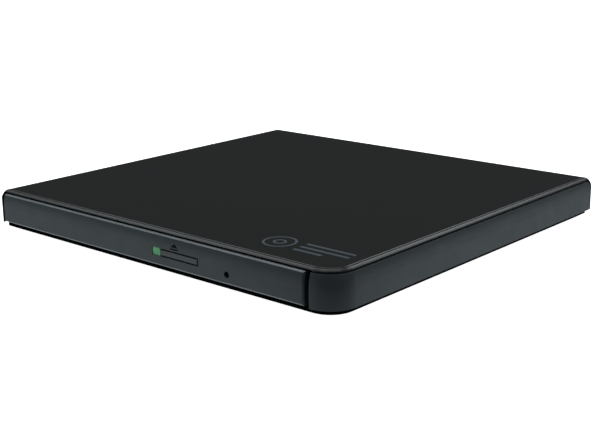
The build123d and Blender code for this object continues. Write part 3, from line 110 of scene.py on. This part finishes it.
# ---------------------------------------------------------------- shader helpers
class Shader:
    """A material under construction: short calls that add nodes and link them."""

    def __init__(self, name):
        self.material = bpy.data.materials.new(name)
        self.material.use_nodes = True
        self.tree = self.material.node_tree
        self.bsdf = self.tree.nodes["Principled BSDF"]
        self.point = self.node("ShaderNodeTexCoord").outputs["Object"]
        self.heights = []

    def node(self, kind, **settings):
        made = self.tree.nodes.new(kind)
        for key, value in settings.items():
            setattr(made, key, value)
        return made

    def feed(self, socket, value):
        """Link a socket to another, or set its plain value."""
        if isinstance(value, bpy.types.NodeSocket):
            self.tree.links.new(value, socket)
        else:
            socket.default_value = value

    def math(self, operation, a, b=0.0, clamp=False):
        made = self.node("ShaderNodeMath", operation=operation, use_clamp=clamp)
        self.feed(made.inputs[0], a)
        self.feed(made.inputs[1], b)
        return made.outputs[0]

    def scaled(self, factors):
        """The object coordinate times a factor on each axis."""
        made = self.node("ShaderNodeVectorMath", operation="MULTIPLY")
        self.feed(made.inputs[0], self.point)
        made.inputs[1].default_value = factors
        return made.outputs[0]

    def noise(self, size, detail=2.0, stretch=(1, 1, 1), roughness=0.5):
        """Noise with features of about the given size in metres, 0 to 1."""
        made = self.node("ShaderNodeTexNoise")
        self.feed(made.inputs["Vector"], self.scaled([s / size for s in stretch]))
        made.inputs["Scale"].default_value = 1.0
        made.inputs["Detail"].default_value = detail
        made.inputs["Roughness"].default_value = roughness
        return made.outputs["Fac"]

    def cells(self, size, feature="F1", stretch=(1, 1, 1)):
        made = self.node("ShaderNodeTexVoronoi", feature=feature)
        self.feed(made.inputs["Vector"], self.scaled([s / size for s in stretch]))
        made.inputs["Scale"].default_value = 1.0
        return made.outputs["Distance"]

    def stripes(self, size, axis):
        """A sine wave along one axis, 0 to 1."""
        separate = self.node("ShaderNodeSeparateXYZ")
        self.feed(separate.inputs[0], self.point)
        angle = self.math("MULTIPLY", separate.outputs[axis], 2 * math.pi / size)
        return self.remap(self.math("SINE", angle), -1.0, 1.0)

    def above(self, height):
        """0 below a height and 1 above it."""
        separate = self.node("ShaderNodeSeparateXYZ")
        self.feed(separate.inputs[0], self.point)
        return self.remap(separate.outputs[2], height - 0.1 * MM, height + 0.1 * MM)

    def slope(self):
        """How far a face tilts from upright, 0 on walls and 1 on level faces."""
        geometry = self.node("ShaderNodeNewGeometry")
        separate = self.node("ShaderNodeSeparateXYZ")
        self.feed(separate.inputs[0], geometry.outputs["True Normal"])
        return self.math("ABSOLUTE", separate.outputs[2])

    def openness(self, distance):
        """1 on open faces, falling to 0 deep inside grooves and crevices."""
        made = self.node("ShaderNodeAmbientOcclusion", samples=6)
        made.inputs["Distance"].default_value = distance
        return made.outputs["AO"]

    def remap(self, value, low, high, to_low=0.0, to_high=1.0):
        made = self.node("ShaderNodeMapRange")
        for socket, v in zip(made.inputs, (value, low, high, to_low, to_high)):
            self.feed(socket, v)
        return made.outputs[0]

    def mix(self, factor, a, b):
        """A mix of two colours."""
        made = self.node("ShaderNodeMix", data_type="RGBA")
        self.feed(made.inputs["Factor"], factor)
        self.feed(made.inputs["A"], a if isinstance(a, bpy.types.NodeSocket) else (*a, 1))
        self.feed(made.inputs["B"], b if isinstance(b, bpy.types.NodeSocket) else (*b, 1))
        return made.outputs["Result"]

    def edges(self, radius):
        """1 on sharp edges and 0 on flats, from the angle between true and rounded normals."""
        rounded = self.node("ShaderNodeBevel", samples=4)
        rounded.inputs["Radius"].default_value = radius
        geometry = self.node("ShaderNodeNewGeometry")
        dot = self.node("ShaderNodeVectorMath", operation="DOT_PRODUCT")
        self.feed(dot.inputs[0], rounded.outputs[0])
        self.feed(dot.inputs[1], geometry.outputs["Normal"])
        return self.remap(dot.outputs["Value"], 0.995, 0.8)

    def bump(self, height, depth):
        """Add a bump of the given depth in metres."""
        self.heights.append((height, depth))

    def finish(self, colour, roughness, round_edges=0.0, **inputs):
        if isinstance(colour, tuple):
            colour = (*colour, 1)
        self.feed(self.bsdf.inputs["Base Color"], colour)
        self.feed(self.bsdf.inputs["Roughness"], roughness)
        for name, value in inputs.items():
            self.feed(self.bsdf.inputs[name.replace("_", " ")], value)
        normal = None
        if round_edges:
            rounded = self.node("ShaderNodeBevel", samples=4)
            rounded.inputs["Radius"].default_value = round_edges
            normal = rounded.outputs[0]
        for height, depth in self.heights:
            made = self.node("ShaderNodeBump")
            made.inputs["Strength"].default_value = 1.0
            made.inputs["Distance"].default_value = depth
            self.feed(made.inputs["Height"], height)
            if normal is not None:
                self.feed(made.inputs["Normal"], normal)
            normal = made.outputs[0]
        if normal is not None:
            self.feed(self.bsdf.inputs["Normal"], normal)
        return self.material


def tinted(colour, factor):
    return tuple(c * factor for c in colour)


# ---------------------------------------------------------------- materials
def moulded_plastic(name, colour, roughness, grain=0.16 * MM, grain_depth=0.006 * MM,
                    round_edges=0.12 * MM, wear=0.5, cloud=0.12, crevice=CREVICE_SHADE_DEPTH,
                    open_range=(0.25, 0.6), painted_shadow_lip=False, painted_highlight=0.0, uneven=0.04):
    """Moulded plastic: spark-eroded grain, cloudy colour, and edges rubbed a little paler and smoother;
    painted shade in crevices and grooves, and where asked a painted shadow on the foot lip and a painted
    highlight on tilted faces.
    """
    s = Shader(name)
    worn = s.math("MULTIPLY", s.edges(0.25 * MM), s.remap(s.noise(3 * MM, 3), 0.3, 0.7, 0.3, 1.0))
    clouds = s.noise(14 * MM, 4)
    base = s.mix(clouds, tinted(colour, 1 - cloud), tinted(colour, 1 + cloud))
    base = s.mix(s.math("MULTIPLY", worn, wear), base, tinted(colour, 2.2))
    # Painted highlight: faces that tilt away from upright, such as bevels, are painted paler, up to 4.5 times
    # the colour, and made smoother.
    if painted_highlight:
        slope = s.remap(s.slope(), 0.3, 0.6)
        base = s.mix(s.math("MULTIPLY", slope, painted_highlight), base, tinted(colour, 4.5))
    # Painted shade: this mask is 1 on open faces; deep in crevices and grooves it falls to 0 and the colour
    # falls to 0.08 of itself.
    unshaded = s.remap(s.openness(crevice), *open_range)
    # Painted shadow: upright faces below the lip top are painted as if fully shaded, black with no
    # reflection.
    if painted_shadow_lip:
        unshaded = s.math("MULTIPLY", unshaded, s.math("MAXIMUM", s.above(LIP_TOP), s.slope()))
    base = s.mix(unshaded, tinted(colour, 0.08), base)
    rough = s.math("ADD", s.remap(s.noise(5 * MM, 4), 0.3, 0.7, -uneven, uneven), roughness)
    rough = s.math("SUBTRACT", rough, s.math("MULTIPLY", worn, 0.08))
    if painted_highlight:
        rough = s.math("SUBTRACT", rough, s.math("MULTIPLY", slope, 0.18))
    # Painted shade also takes the reflections out of crevices and grooves.
    s.feed(s.bsdf.inputs["Specular IOR Level"], s.math("MULTIPLY", unshaded, 0.5))
    s.bump(s.noise(grain, 2), grain_depth)
    return s.finish(base, rough, round_edges)


def sheet_steel(name, colour=(0.56, 0.57, 0.58), along=0, roughness=0.32):
    """Rolled sheet steel: fine lines along one axis, faint spangle and handling marks."""
    s = Shader(name)
    stretch = [1.0, 1.0, 1.0]
    stretch[along] = 0.04
    lines = s.noise(0.12 * MM, 2, stretch)
    spangle = s.cells(4 * MM)
    base = s.mix(s.remap(spangle, 0.1, 0.7), tinted(colour, 0.88), colour)
    base = s.mix(s.remap(s.noise(8 * MM, 4), 0.45, 0.75, 0, 0.5), base, tinted(colour, 0.72))
    base = s.mix(s.math("MULTIPLY", s.edges(0.1 * MM), 0.6), base, (0.8, 0.8, 0.8))
    rough = s.math("ADD", s.remap(lines, 0.2, 0.8, -0.08, 0.1), roughness)
    s.bump(lines, 0.002 * MM)
    return s.finish(base, rough, 0.05 * MM, Metallic=1.0)


def turned_steel(name, colour=(0.7, 0.71, 0.72), roughness=0.16):
    """Ground and polished steel with a few soft scuffs."""
    s = Shader(name)
    scuffs = s.noise(1.2 * MM, 5, roughness=0.7)
    base = s.mix(s.remap(scuffs, 0.4, 0.7), colour, tinted(colour, 0.8))
    s.bump(s.noise(0.08 * MM, 2), 0.0008 * MM)
    rough = s.remap(scuffs, 0.3, 0.7, roughness - 0.05, roughness + 0.12)
    return s.finish(base, rough, 0.05 * MM, Metallic=1.0)


def cast_alloy(name, colour=(0.42, 0.42, 0.43)):
    """Die-cast zinc alloy: pitted, dull, brighter where machined edges catch."""
    s = Shader(name)
    pits = s.cells(0.35 * MM)
    base = s.mix(s.noise(2 * MM, 5), tinted(colour, 0.7), tinted(colour, 1.15))
    base = s.mix(s.math("MULTIPLY", s.edges(0.15 * MM), 0.7), base, (0.7, 0.7, 0.71))
    s.bump(pits, 0.01 * MM)
    return s.finish(base, s.remap(s.noise(0.5 * MM, 3), 0.3, 0.7, 0.35, 0.55), 0.08 * MM, Metallic=0.9)


def soft_rubber(name):
    s = Shader(name)
    base = s.mix(s.noise(1.5 * MM, 5), (0.014, 0.014, 0.015), (0.035, 0.034, 0.033))
    dust = s.math("MULTIPLY", s.edges(0.3 * MM), s.noise(0.6 * MM, 4))
    base = s.mix(s.math("MULTIPLY", dust, 0.6), base, (0.1, 0.1, 0.095))
    s.bump(s.noise(0.2 * MM, 3), 0.012 * MM)
    return s.finish(base, s.remap(s.noise(1 * MM, 3), 0.3, 0.7, 0.7, 0.9), 0.25 * MM)


def circuit_board(name):
    """Green solder mask over copper tracks, with pale pads and drilled vias."""
    s = Shader(name)
    brick = s.node("ShaderNodeTexBrick")
    s.feed(brick.inputs["Vector"], s.scaled((900, 900, 900)))
    brick.inputs["Scale"].default_value = 1.0
    brick.inputs["Mortar Size"].default_value = 0.09
    tracks = s.math("GREATER_THAN", s.noise(4 * MM, 0), 0.47)
    track = s.math("MULTIPLY", brick.outputs["Fac"], tracks)
    vias = s.math("LESS_THAN", s.cells(2.6 * MM), 0.09)
    base = s.mix(s.noise(20 * MM, 2), (0.012, 0.075, 0.03), (0.018, 0.1, 0.042))
    base = s.mix(s.math("MULTIPLY", track, 0.75), base, (0.035, 0.19, 0.075))
    base = s.mix(vias, base, (0.55, 0.5, 0.38))
    s.bump(track, 0.01 * MM)
    return s.finish(base, s.remap(vias, 0, 1, 0.28, 0.4), 0.05 * MM, Coat_Weight=0.4, Coat_Roughness=0.12)


def chip_black(name):
    """Epoxy chip packages with a fine sandy grain."""
    s = Shader(name)
    base = s.mix(s.noise(0.3 * MM, 4), (0.012, 0.012, 0.013), (0.032, 0.032, 0.034))
    base = s.mix(s.math("MULTIPLY", s.edges(0.1 * MM), 0.5), base, (0.08, 0.08, 0.085))
    s.bump(s.noise(0.07 * MM, 2), 0.006 * MM)
    return s.finish(base, 0.55, 0.05 * MM)


def wound_copper(name):
    """Enamelled wire in tight turns."""
    s = Shader(name)
    turns = s.stripes(0.16 * MM, 2)
    base = s.mix(turns, (0.28, 0.09, 0.035), (0.75, 0.33, 0.15))
    base = s.mix(s.remap(s.noise(1.5 * MM, 3), 0.4, 0.7, 0, 0.5), base, (0.45, 0.17, 0.07))
    s.bump(turns, 0.05 * MM)
    return s.finish(base, 0.28, Metallic=0.85, Coat_Weight=0.5)


def amber_film(name, across=0):
    """A flat cable: amber film over copper conductors."""
    s = Shader(name)
    wires = s.remap(s.stripes(1.0 * MM, across), 0.35, 0.65)
    base = s.mix(wires, (0.42, 0.17, 0.03), (0.62, 0.33, 0.1))
    base = s.mix(s.remap(s.noise(5 * MM, 4), 0.3, 0.8, 0, 0.35), base, (0.3, 0.11, 0.02))
    s.bump(wires, 0.03 * MM)
    rough = s.remap(s.noise(2 * MM, 3), 0.3, 0.7, 0.25, 0.4)
    return s.finish(base, rough, Coat_Weight=0.6, Coat_Roughness=0.15)


def lit_window(name):
    """The diffusing green window, softly lit from inside at its middle."""
    s = Shader(name)
    clouds = s.noise(0.8 * MM, 3)
    base = s.mix(clouds, (0.06, 0.25, 0.1), (0.13, 0.42, 0.19))
    low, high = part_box("light_pipe")
    middle = s.node("ShaderNodeVectorMath", operation="DISTANCE")
    s.feed(middle.inputs[0], s.point)
    middle.inputs[1].default_value = (low.x + 0.35 * (high.x - low.x), low.y, low.z + 0.65 * (high.z - low.z))
    glow = s.remap(middle.outputs["Value"], 0.3 * MM, 1.8 * MM, 0.065, 0.0)
    s.bump(s.noise(0.1 * MM, 2), 0.003 * MM)
    return s.finish(base, 0.3, 0.12 * MM, Emission_Color=(0.25, 0.9, 0.4, 1), Emission_Strength=glow,
                    Transmission_Weight=0.15, Subsurface_Weight=0.2, Subsurface_Scale=0.001)


def coated_lens(name):
    s = Shader(name)
    facing = s.node("ShaderNodeLayerWeight")
    facing.inputs["Blend"].default_value = 0.6
    spots = s.noise(0.5 * MM, 3)
    base = s.mix(facing.outputs["Facing"], (0.05, 0.06, 0.2), (0.25, 0.5, 0.65))
    s.bump(spots, 0.0005 * MM)
    rough = s.remap(spots, 0.3, 0.7, 0.02, 0.08)
    return s.finish(base, rough, Coat_Weight=1.0, Transmission_Weight=0.3, IOR=1.6)


def printed_ink(name, colour, shine=0.4):
    """Screen-printed ink: nearly matt, with a slightly uneven tone."""
    s = Shader(name)
    base = s.mix(s.noise(0.25 * MM, 4), tinted(colour, 0.8), tinted(colour, 1.15))
    s.bump(s.noise(0.1 * MM, 2), 0.002 * MM)
    return s.finish(base, s.remap(s.noise(1 * MM, 3), 0.3, 0.7, 0.55, 0.7), Specular_IOR_Level=shine)


# Every moulded plastic carries painted shade in its crevices; the case also a painted shadow on its foot lip,
# and the bezel a painted highlight on its bevels.
MATERIALS = {
    "black_cover": lambda n: moulded_plastic(
        n, (0.0110, 0.0120, 0.0115), 0.3, 0.2 * MM, 0.0008 * MM, 0.05 * MM,
        wear=0.0, cloud=0.03, crevice=0.7 * MM, open_range=(0.5, 0.85), uneven=0.01),
    "black_case": lambda n: moulded_plastic(
        n, (0.024, 0.030, 0.034), 0.46, 0.17 * MM, 0.008 * MM, wear=0.2, painted_shadow_lip=True),
    "bezel_black": lambda n: moulded_plastic(
        n, (0.024, 0.030, 0.034), 0.44, 0.17 * MM, 0.008 * MM, 0.04 * MM, wear=0.2, painted_highlight=0.6),
    "button_black": lambda n: moulded_plastic(n, (0.036, 0.043, 0.046), 0.36, 0.17 * MM, 0.003 * MM),
    "tray_black": lambda n: moulded_plastic(n, (0.014, 0.014, 0.015), 0.55, 0.22 * MM, 0.01 * MM),
    "white_plastic": lambda n: moulded_plastic(n, (0.62, 0.61, 0.56), 0.42, 0.3 * MM, 0.004 * MM, wear=0.0),
    "connector_cream": lambda n: moulded_plastic(n, (0.55, 0.49, 0.37), 0.45, 0.2 * MM, 0.004 * MM, wear=0.0),
    "rubber": soft_rubber,
    "steel_sheet": sheet_steel,
    "steel_bright": turned_steel,
    "screw_steel": lambda n: turned_steel(n, (0.24, 0.24, 0.25), 0.3),
    "cast_alloy": cast_alloy,
    "board_green": circuit_board,
    "chip_black": chip_black,
    "copper": wound_copper,
    "flex_amber": amber_film,
    "green_window": lit_window,
    "lens_glass": coated_lens,
}


def dress_cad_nodes():
    """Give every CAD node the material of its slot in the record."""
    made = {name: build(name) for name, build in MATERIALS.items()}
    for part in frame["record"]["subparts"]:
        node = NODES[part["node"]]
        node.data.materials.clear()
        node.data.materials.append(made[part["material_slot"]])
    return made


# ---------------------------------------------------------------- pieces finer than their CAD shapes
def mesh_piece(name, vertices, faces, material, smooth=True):
    mesh = bpy.data.meshes.new(name)
    mesh.from_pydata(vertices, [], faces)
    tidy = bmesh.new()
    tidy.from_mesh(mesh)
    bmesh.ops.recalc_face_normals(tidy, faces=tidy.faces)
    tidy.to_mesh(mesh)
    tidy.free()
    for face in mesh.polygons:
        face.use_smooth = smooth
    mesh.materials.append(material)
    made = bpy.data.objects.new(name, mesh)
    bpy.context.scene.collection.objects.link(made)
    return made


def skin(name, rings, material, smooth=True):
    """A closed body through rings of equally many points."""
    count = len(rings[0])
    vertices = [tuple(p) for ring in rings for p in ring]
    faces = [tuple(reversed(range(count)))]
    for n in range(len(rings) - 1):
        for k in range(count):
            after = (k + 1) % count
            low, high = n * count, (n + 1) * count
            faces.append((low + k, low + after, high + after, high + k))
    faces.append(tuple(range(len(vertices) - count, len(vertices))))
    return mesh_piece(name, vertices, faces, material, smooth)


def coil(name, start, end, turns, radius, wire, material, slot):
    """A coil spring from start to end, with its last turns closed up."""
    along = end - start
    length = along.length
    along = along.normalized()
    side = along.orthogonal().normalized()
    other = along.cross(side)
    rings = []
    steps = int(turns * COIL_STEPS)
    for n in range(steps + 1):
        share = n / steps
        closed = share - COIL_CLOSING * math.sin(2 * math.pi * share)
        angle = 2 * math.pi * turns * share
        radial = math.cos(angle) * side + math.sin(angle) * other
        centre = start + along * (wire + (length - 2 * wire) * closed) + radial * radius
        rings.append([centre + wire * (math.cos(a) * radial + math.sin(a) * along)
                      for a in (2 * math.pi * k / WIRE_SIDES for k in range(WIRE_SIDES))])
    return skin(name, rings, material)


def resample(corners, step):
    """Points along a polyline, no further apart than step."""
    points = [corners[0]]
    for a, b in zip(corners, corners[1:]):
        count = max(1, math.ceil((b - a).length / step))
        points += [a.lerp(b, (n + 1) / count) for n in range(count)]
    return points


def ribbon(name, corners, side, width, sheet, material):
    """A flat cable along a path, at right angles to its side direction."""
    points = resample([Vector(c) * MM for c in corners], RIBBON_STEP)
    rings = []
    for n, point in enumerate(points):
        tangent = (points[min(n + 1, len(points) - 1)] - points[max(n - 1, 0)]).normalized()
        normal = side.cross(tangent).normalized()
        across, up = side * width * MM / 2, normal * sheet * MM / 2
        rings.append([point - across - up, point + across - up, point + across + up, point - across + up])
    return skin(name, rings, material, smooth=False)


def traverse(x, y, z):
    """A point given along the pickup's line of travel, in the model's frame."""
    turned = Matrix.Rotation(math.radians(TRAVERSE_ANGLE), 3, "Z") @ Vector((x, y, 0))
    return Vector((SPINDLE[0] + turned.x, SPINDLE[1] + turned.y, z)) * MM


def add_main_cable(material):
    """The flat cable between the case and the tray: a fixed run, a layer on the floor that ends in a bend,
    and an upper layer up to the tray's plug, which on the real drive is drawn out with the tray; here it is
    not tied to the tray."""
    run = ribbon("main_cable_run",
                 [(x, RUN_Y, z) for x, z in (
                     (CABLE_X[1] - RUN_JOIN, RUN_HEIGHT), (RUN_RISE_X, RUN_HEIGHT),
                     (RUN_RISE_X, RUN_PLUG_HEIGHT), (RUN_PLUG_X, RUN_PLUG_HEIGHT))],
                 Vector((0, 1, 0)), RUN_WIDTH, FIXED_SHEET, material)
    centre, width = (CABLE_X[0] + CABLE_X[1]) / 2, CABLE_X[1] - CABLE_X[0]
    bend_top, half_rise = CABLE_LOW + CABLE_BEND_RISE, CABLE_BEND_RISE / 2
    layer = ribbon("main_cable_layer",
                   [(centre, y, z) for y, z in (
                       (CABLE_BACK, CABLE_LOW), (CABLE_BEND, CABLE_LOW),
                       (CABLE_BEND - half_rise, CABLE_LOW + half_rise), (CABLE_BEND, bend_top))],
                   Vector((1, 0, 0)), width, CABLE_SHEET, material)
    moving = ribbon("main_cable_loop",
                    [(centre, y, z) for y, z in (
                        (CABLE_BEND, bend_top), (CABLE_SLOT_Y, CABLE_HIGH),
                        (CABLE_SLOT_Y, CABLE_PLUG_HEIGHT), (CABLE_PLUG_Y, CABLE_PLUG_HEIGHT))],
                    Vector((1, 0, 0)), width, CABLE_SHEET, material)
    for piece in (run, layer, moving):
        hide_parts("main_flex_cable")
    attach(run, "case")
    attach(layer, "case")
    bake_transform(moving)


def add_pickup_cable(material):
    x, z, front, back = PICKUP_CABLE_X, PICKUP_CABLE_HEIGHT, PICKUP_CABLE_FRONT, PICKUP_CABLE_BACK
    cable = ribbon("pickup_cable",
                   [(x, PICKUP_CABLE_PLUG_Y, PICKUP_CABLE_PLUG_HEIGHT), (x, back, PICKUP_CABLE_PLUG_HEIGHT),
                    (x, back, z), (x, front, z), (x, front, PICKUP_CABLE_TOP)],
                   Vector((1, 0, 0)), PICKUP_CABLE_WIDTH, FIXED_SHEET, material)
    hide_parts("pickup_flex_cable")
    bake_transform(cable)


def add_springs(material):
    """The coil springs of the eject plunger and of the disc clamp's pawls."""
    ends = [Vector((PUSH_SPRING_X, y, PUSH_SPRING_Z)) * MM for y in PUSH_SPRING_Y]
    push = coil("eject_spring_coil", *ends, PUSH_SPRING_TURNS, PUSH_SPRING_R * MM, PUSH_SPRING_WIRE * MM,
                material, "steel_bright")
    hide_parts("eject_spring")
    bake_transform(push)
    for n in range(PAWLS):
        around = Matrix.Rotation(2 * math.pi * n / PAWLS, 3, "Z")
        ends = []
        for reach in PAWL_SPRING_REACH:
            spot = around @ Vector((reach, 0, 0))
            ends.append(traverse(spot.x, spot.y, PAWL_SPRING_Z))
        spring = coil(f"pawl_spring_{n + 1}", *ends, PAWL_SPRING_TURNS, PAWL_SPRING_R * MM,
                      PAWL_SPRING_WIRE * MM, material, "steel_bright")
        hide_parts("clamp_springs")
        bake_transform(spring)


def add_lead_screw(material):
    """The pickup's screw, with its thread and plain journals at both ends."""
    rings = []
    steps = int((SCREW_END - SCREW_START) / SCREW_STEP)
    for n in range(steps + 1):
        x = SCREW_START + (SCREW_END - SCREW_START) * n / steps
        plain = x < SCREW_START + SCREW_JOURNAL or x > SCREW_END - SCREW_JOURNAL
        ring = []
        for k in range(SCREW_SIDES):
            angle = 2 * math.pi * k / SCREW_SIDES
            crest = max(0.0, math.cos(angle - 2 * math.pi * x / SCREW_LEAD)) ** 0.5
            radius = SCREW_JOURNAL_R if plain else SCREW_R - SCREW_THREAD * (1 - crest)
            ring.append(traverse(x, SCREW_Y + radius * math.cos(angle), SCREW_Z + radius * math.sin(angle)))
        rings.append(ring)
    screw = skin("threaded_screw", rings, material)
    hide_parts("lead_screw")
    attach(screw, "screw")


def flat_shape(outline, foot, top, base, faces, vertices):
    """Add a straight prism on an outline, given as points of a plane with base axes."""
    first = len(vertices)
    origin, u, v, w = base
    for height in (foot, top):
        vertices += [origin + u * a + v * b + w * height for a, b in outline]
    count = len(outline)
    faces.append(tuple(range(first, first + count)))
    faces.append(tuple(reversed(range(first + count, first + 2 * count))))
    for k in range(count):
        after = (k + 1) % count
        faces.append((first + k, first + after, first + count + after, first + count + k))


def ring_shape(inner, outer, centre, base, foot, top, faces, vertices):
    """Add a flat ring, with walls all round. Its radii are millimetres."""
    first, sides = len(vertices), RING_SIDES
    origin, u, v, w = base
    for radius, height in ((inner, foot), (outer, foot), (outer, top), (inner, top)):
        for k in range(sides):
            angle = 2 * math.pi * k / sides
            vertices.append(origin + u * (centre[0] + radius * math.cos(angle) * MM)
                            + v * (centre[1] + radius * math.sin(angle) * MM) + w * height)
    for band in range(4):
        for k in range(sides):
            after = (k + 1) % sides
            a, b = band * sides, (band + 1) % 4 * sides
            faces.append((first + a + k, first + a + after, first + b + after, first + b + k))


def add_top_mark(material):
    """A generic printed mark: a plain disc pictogram beside three plain bars."""
    vertices, faces = [], []
    base = (Vector((0, 0, CASE_TOP * MM)), Vector((1, 0, 0)), Vector((0, 1, 0)), Vector((0, 0, 1)))
    foot, top = -INK_SINK * MM, INK_RISE * MM
    for inner, outer in MARK_RINGS:
        ring_shape(inner, outer, [c * MM for c in MARK_CENTRE], base, foot, top, faces, vertices)
    for y, x1 in MARK_BARS:
        x0, half = MARK_BAR_LEFT, MARK_BAR_HALF
        bar = [(x0, y - half), (x1, y - half), (x1, y + half), (x0, y + half)]
        flat_shape([(a * MM, b * MM) for a, b in bar], foot, top, base, faces, vertices)
    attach(mesh_piece("top_mark", vertices, faces, material, smooth=False), "case")


def add_eject_symbol(material):
    """Dark infill in the engraved eject symbol."""
    vertices, faces = [], []
    base = (Vector((0, (BEZEL_FACE_Y + SYMBOL_DEPTH) * MM, 0)), Vector((1, 0, 0)), Vector((0, 0, 1)),
            Vector((0, -1, 0)))
    for shape in (SYMBOL_BAR, SYMBOL_TRIANGLE):
        flat_shape([(a * MM, b * MM) for a, b in shape], 0, SYMBOL_FILL * MM, base, faces, vertices)
    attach(mesh_piece("eject_symbol_fill", vertices, faces, material, smooth=False), "tray")


def add_pieces(made):
    add_main_cable(made["flex_amber"])
    add_pickup_cable(made["flex_amber"])
    add_springs(made["steel_bright"])
    add_lead_screw(made["steel_bright"])
    add_top_mark(printed_ink("mark_ink", (0.055, 0.07, 0.085)))
    add_eject_symbol(printed_ink("symbol_ink", (0.004, 0.004, 0.004), 0.05))


# ---------------------------------------------------------------- stage, light and camera
CAMERA_PLACE = (0.24438, -0.27873, 0.10296)
AZIMUTH, ELEVATION, ROLL = (math.radians(a) for a in (41.87, 15.03, -0.77))
LENS_MM, SENSOR_MM = 68.9, 36.0
SHIFT = (0.01675, -0.01578)
FLOOR_HALF = 4.0
FLOOR_GLOW, BOUNCE_BRIGHT, BOUNCE_DARK = 0.97, 0.74, 0.03
BOUNCE_FADE = (0.085, 0.128)  # where the floor's glow ends, measured towards the front right corner
TOWARDS_CORNER = 0.707
WORLD_GLOW = 0.045
LIGHT_COLOUR = (0.93, 0.98, 1.0)
LIGHTS = (  # name, place, size, watts, seen in mirror reflections
    ("key_overhead", (-0.1, 0.1, 1.1), (1.2, 1.2), 9, True),
    ("fill_right", (1.0, -0.1, 0.5), (0.7, 0.9), 3, False),
    ("fill_front", (-0.5, -1.0, 0.5), (0.9, 0.7), 3, False),
    ("edge_left", (-0.84, -0.34, 0.93), (0.7, 0.6), 2.6, True),
    ("edge_back", (0.34, 0.94, 0.84), (0.7, 0.6), 3.6, True),
)


def add_camera():
    data = bpy.data.cameras.new("camera")
    data.lens, data.sensor_width = LENS_MM, SENSOR_MM
    data.shift_x, data.shift_y = SHIFT
    data.clip_start = 0.01
    back = Vector((math.sin(AZIMUTH) * math.cos(ELEVATION), -math.cos(AZIMUTH) * math.cos(ELEVATION),
                   math.sin(ELEVATION)))  # from the object towards the camera
    level = Vector((0, 0, 1)).cross(back).normalized()
    up = back.cross(level)
    right = math.cos(ROLL) * level + math.sin(ROLL) * up
    top = -math.sin(ROLL) * level + math.cos(ROLL) * up
    camera = bpy.data.objects.new("camera", data)
    turn = Matrix((right, top, back)).transposed().to_4x4()
    camera.matrix_world = Matrix.Translation(CAMERA_PLACE) @ turn
    bpy.context.scene.collection.objects.link(camera)
    bpy.context.scene.camera = camera


def add_floor():
    """Pale paper to the camera; to reflections, a glow that goes dark in front of the front right corner."""
    mesh = bpy.data.meshes.new("floor")
    half = FLOOR_HALF
    corners = [(-half, -half, 0), (half, -half, 0), (half, half, 0), (-half, half, 0)]
    mesh.from_pydata(corners, [], [(0, 1, 2, 3)])
    floor = bpy.data.objects.new("floor", mesh)
    bpy.context.scene.collection.objects.link(floor)
    s = Shader("floor_paper")
    paper = s.mix(s.noise(0.2, 3), (0.86, 0.86, 0.86), (0.88, 0.88, 0.88))
    s.bump(s.noise(0.5 * MM, 3), 0.02 * MM)
    s.finish(paper, 0.9, Emission_Color=(1, 1, 1, 1), Emission_Strength=FLOOR_GLOW)
    tree = s.tree
    path = s.node("ShaderNodeLightPath")
    separate = s.node("ShaderNodeSeparateXYZ")
    s.feed(separate.inputs[0], s.point)
    towards = s.math("SUBTRACT", s.math("MULTIPLY", separate.outputs[0], TOWARDS_CORNER),
                     s.math("MULTIPLY", separate.outputs[1], TOWARDS_CORNER))
    bounce = s.node("ShaderNodeEmission")
    bounce.inputs["Color"].default_value = (0.88, 0.97, 1, 1)
    s.feed(bounce.inputs["Strength"], s.remap(towards, *BOUNCE_FADE, BOUNCE_BRIGHT, BOUNCE_DARK))
    mix = s.node("ShaderNodeMixShader")
    s.feed(mix.inputs[0], path.outputs["Is Camera Ray"])
    s.feed(mix.inputs[1], bounce.outputs[0])
    s.feed(mix.inputs[2], s.bsdf.outputs[0])
    s.feed(tree.nodes["Material Output"].inputs["Surface"], mix.outputs[0])
    floor.data.materials.append(s.material)


def add_world():
    """White to the camera; a dim even glow to everything else."""
    world = bpy.data.worlds.new("studio")
    world.use_nodes = True
    tree = world.node_tree
    tree.nodes.clear()
    output = tree.nodes.new("ShaderNodeOutputWorld")
    mix = tree.nodes.new("ShaderNodeMixShader")
    path = tree.nodes.new("ShaderNodeLightPath")
    seen = tree.nodes.new("ShaderNodeBackground")
    light = tree.nodes.new("ShaderNodeBackground")
    seen.inputs["Color"].default_value = (1, 1, 1, 1)
    seen.inputs["Strength"].default_value = 1.0
    light.inputs["Color"].default_value = (0.9, 0.95, 1, 1)
    light.inputs["Strength"].default_value = WORLD_GLOW
    tree.links.new(path.outputs["Is Camera Ray"], mix.inputs[0])
    tree.links.new(light.outputs[0], mix.inputs[1])
    tree.links.new(seen.outputs[0], mix.inputs[2])
    tree.links.new(mix.outputs[0], output.inputs[0])
    bpy.context.scene.world = world


def add_light(name, place, size, watts, mirrored):
    data = bpy.data.lights.new(name, "AREA")
    data.shape = "RECTANGLE"
    data.size, data.size_y = size
    data.energy = watts
    data.color = LIGHT_COLOUR
    lamp = bpy.data.objects.new(name, data)
    lamp.location = place
    lamp.rotation_euler = (-Vector(place)).to_track_quat("-Z", "Y").to_euler()
    lamp.visible_glossy = mirrored
    bpy.context.scene.collection.objects.link(lamp)


def add_studio():
    add_world()
    add_floor()
    for light in LIGHTS:
        add_light(*light)



bpy.context.scene.view_settings.view_transform = "Standard"
add_pieces(dress_cad_nodes())
add_studio()
add_camera()
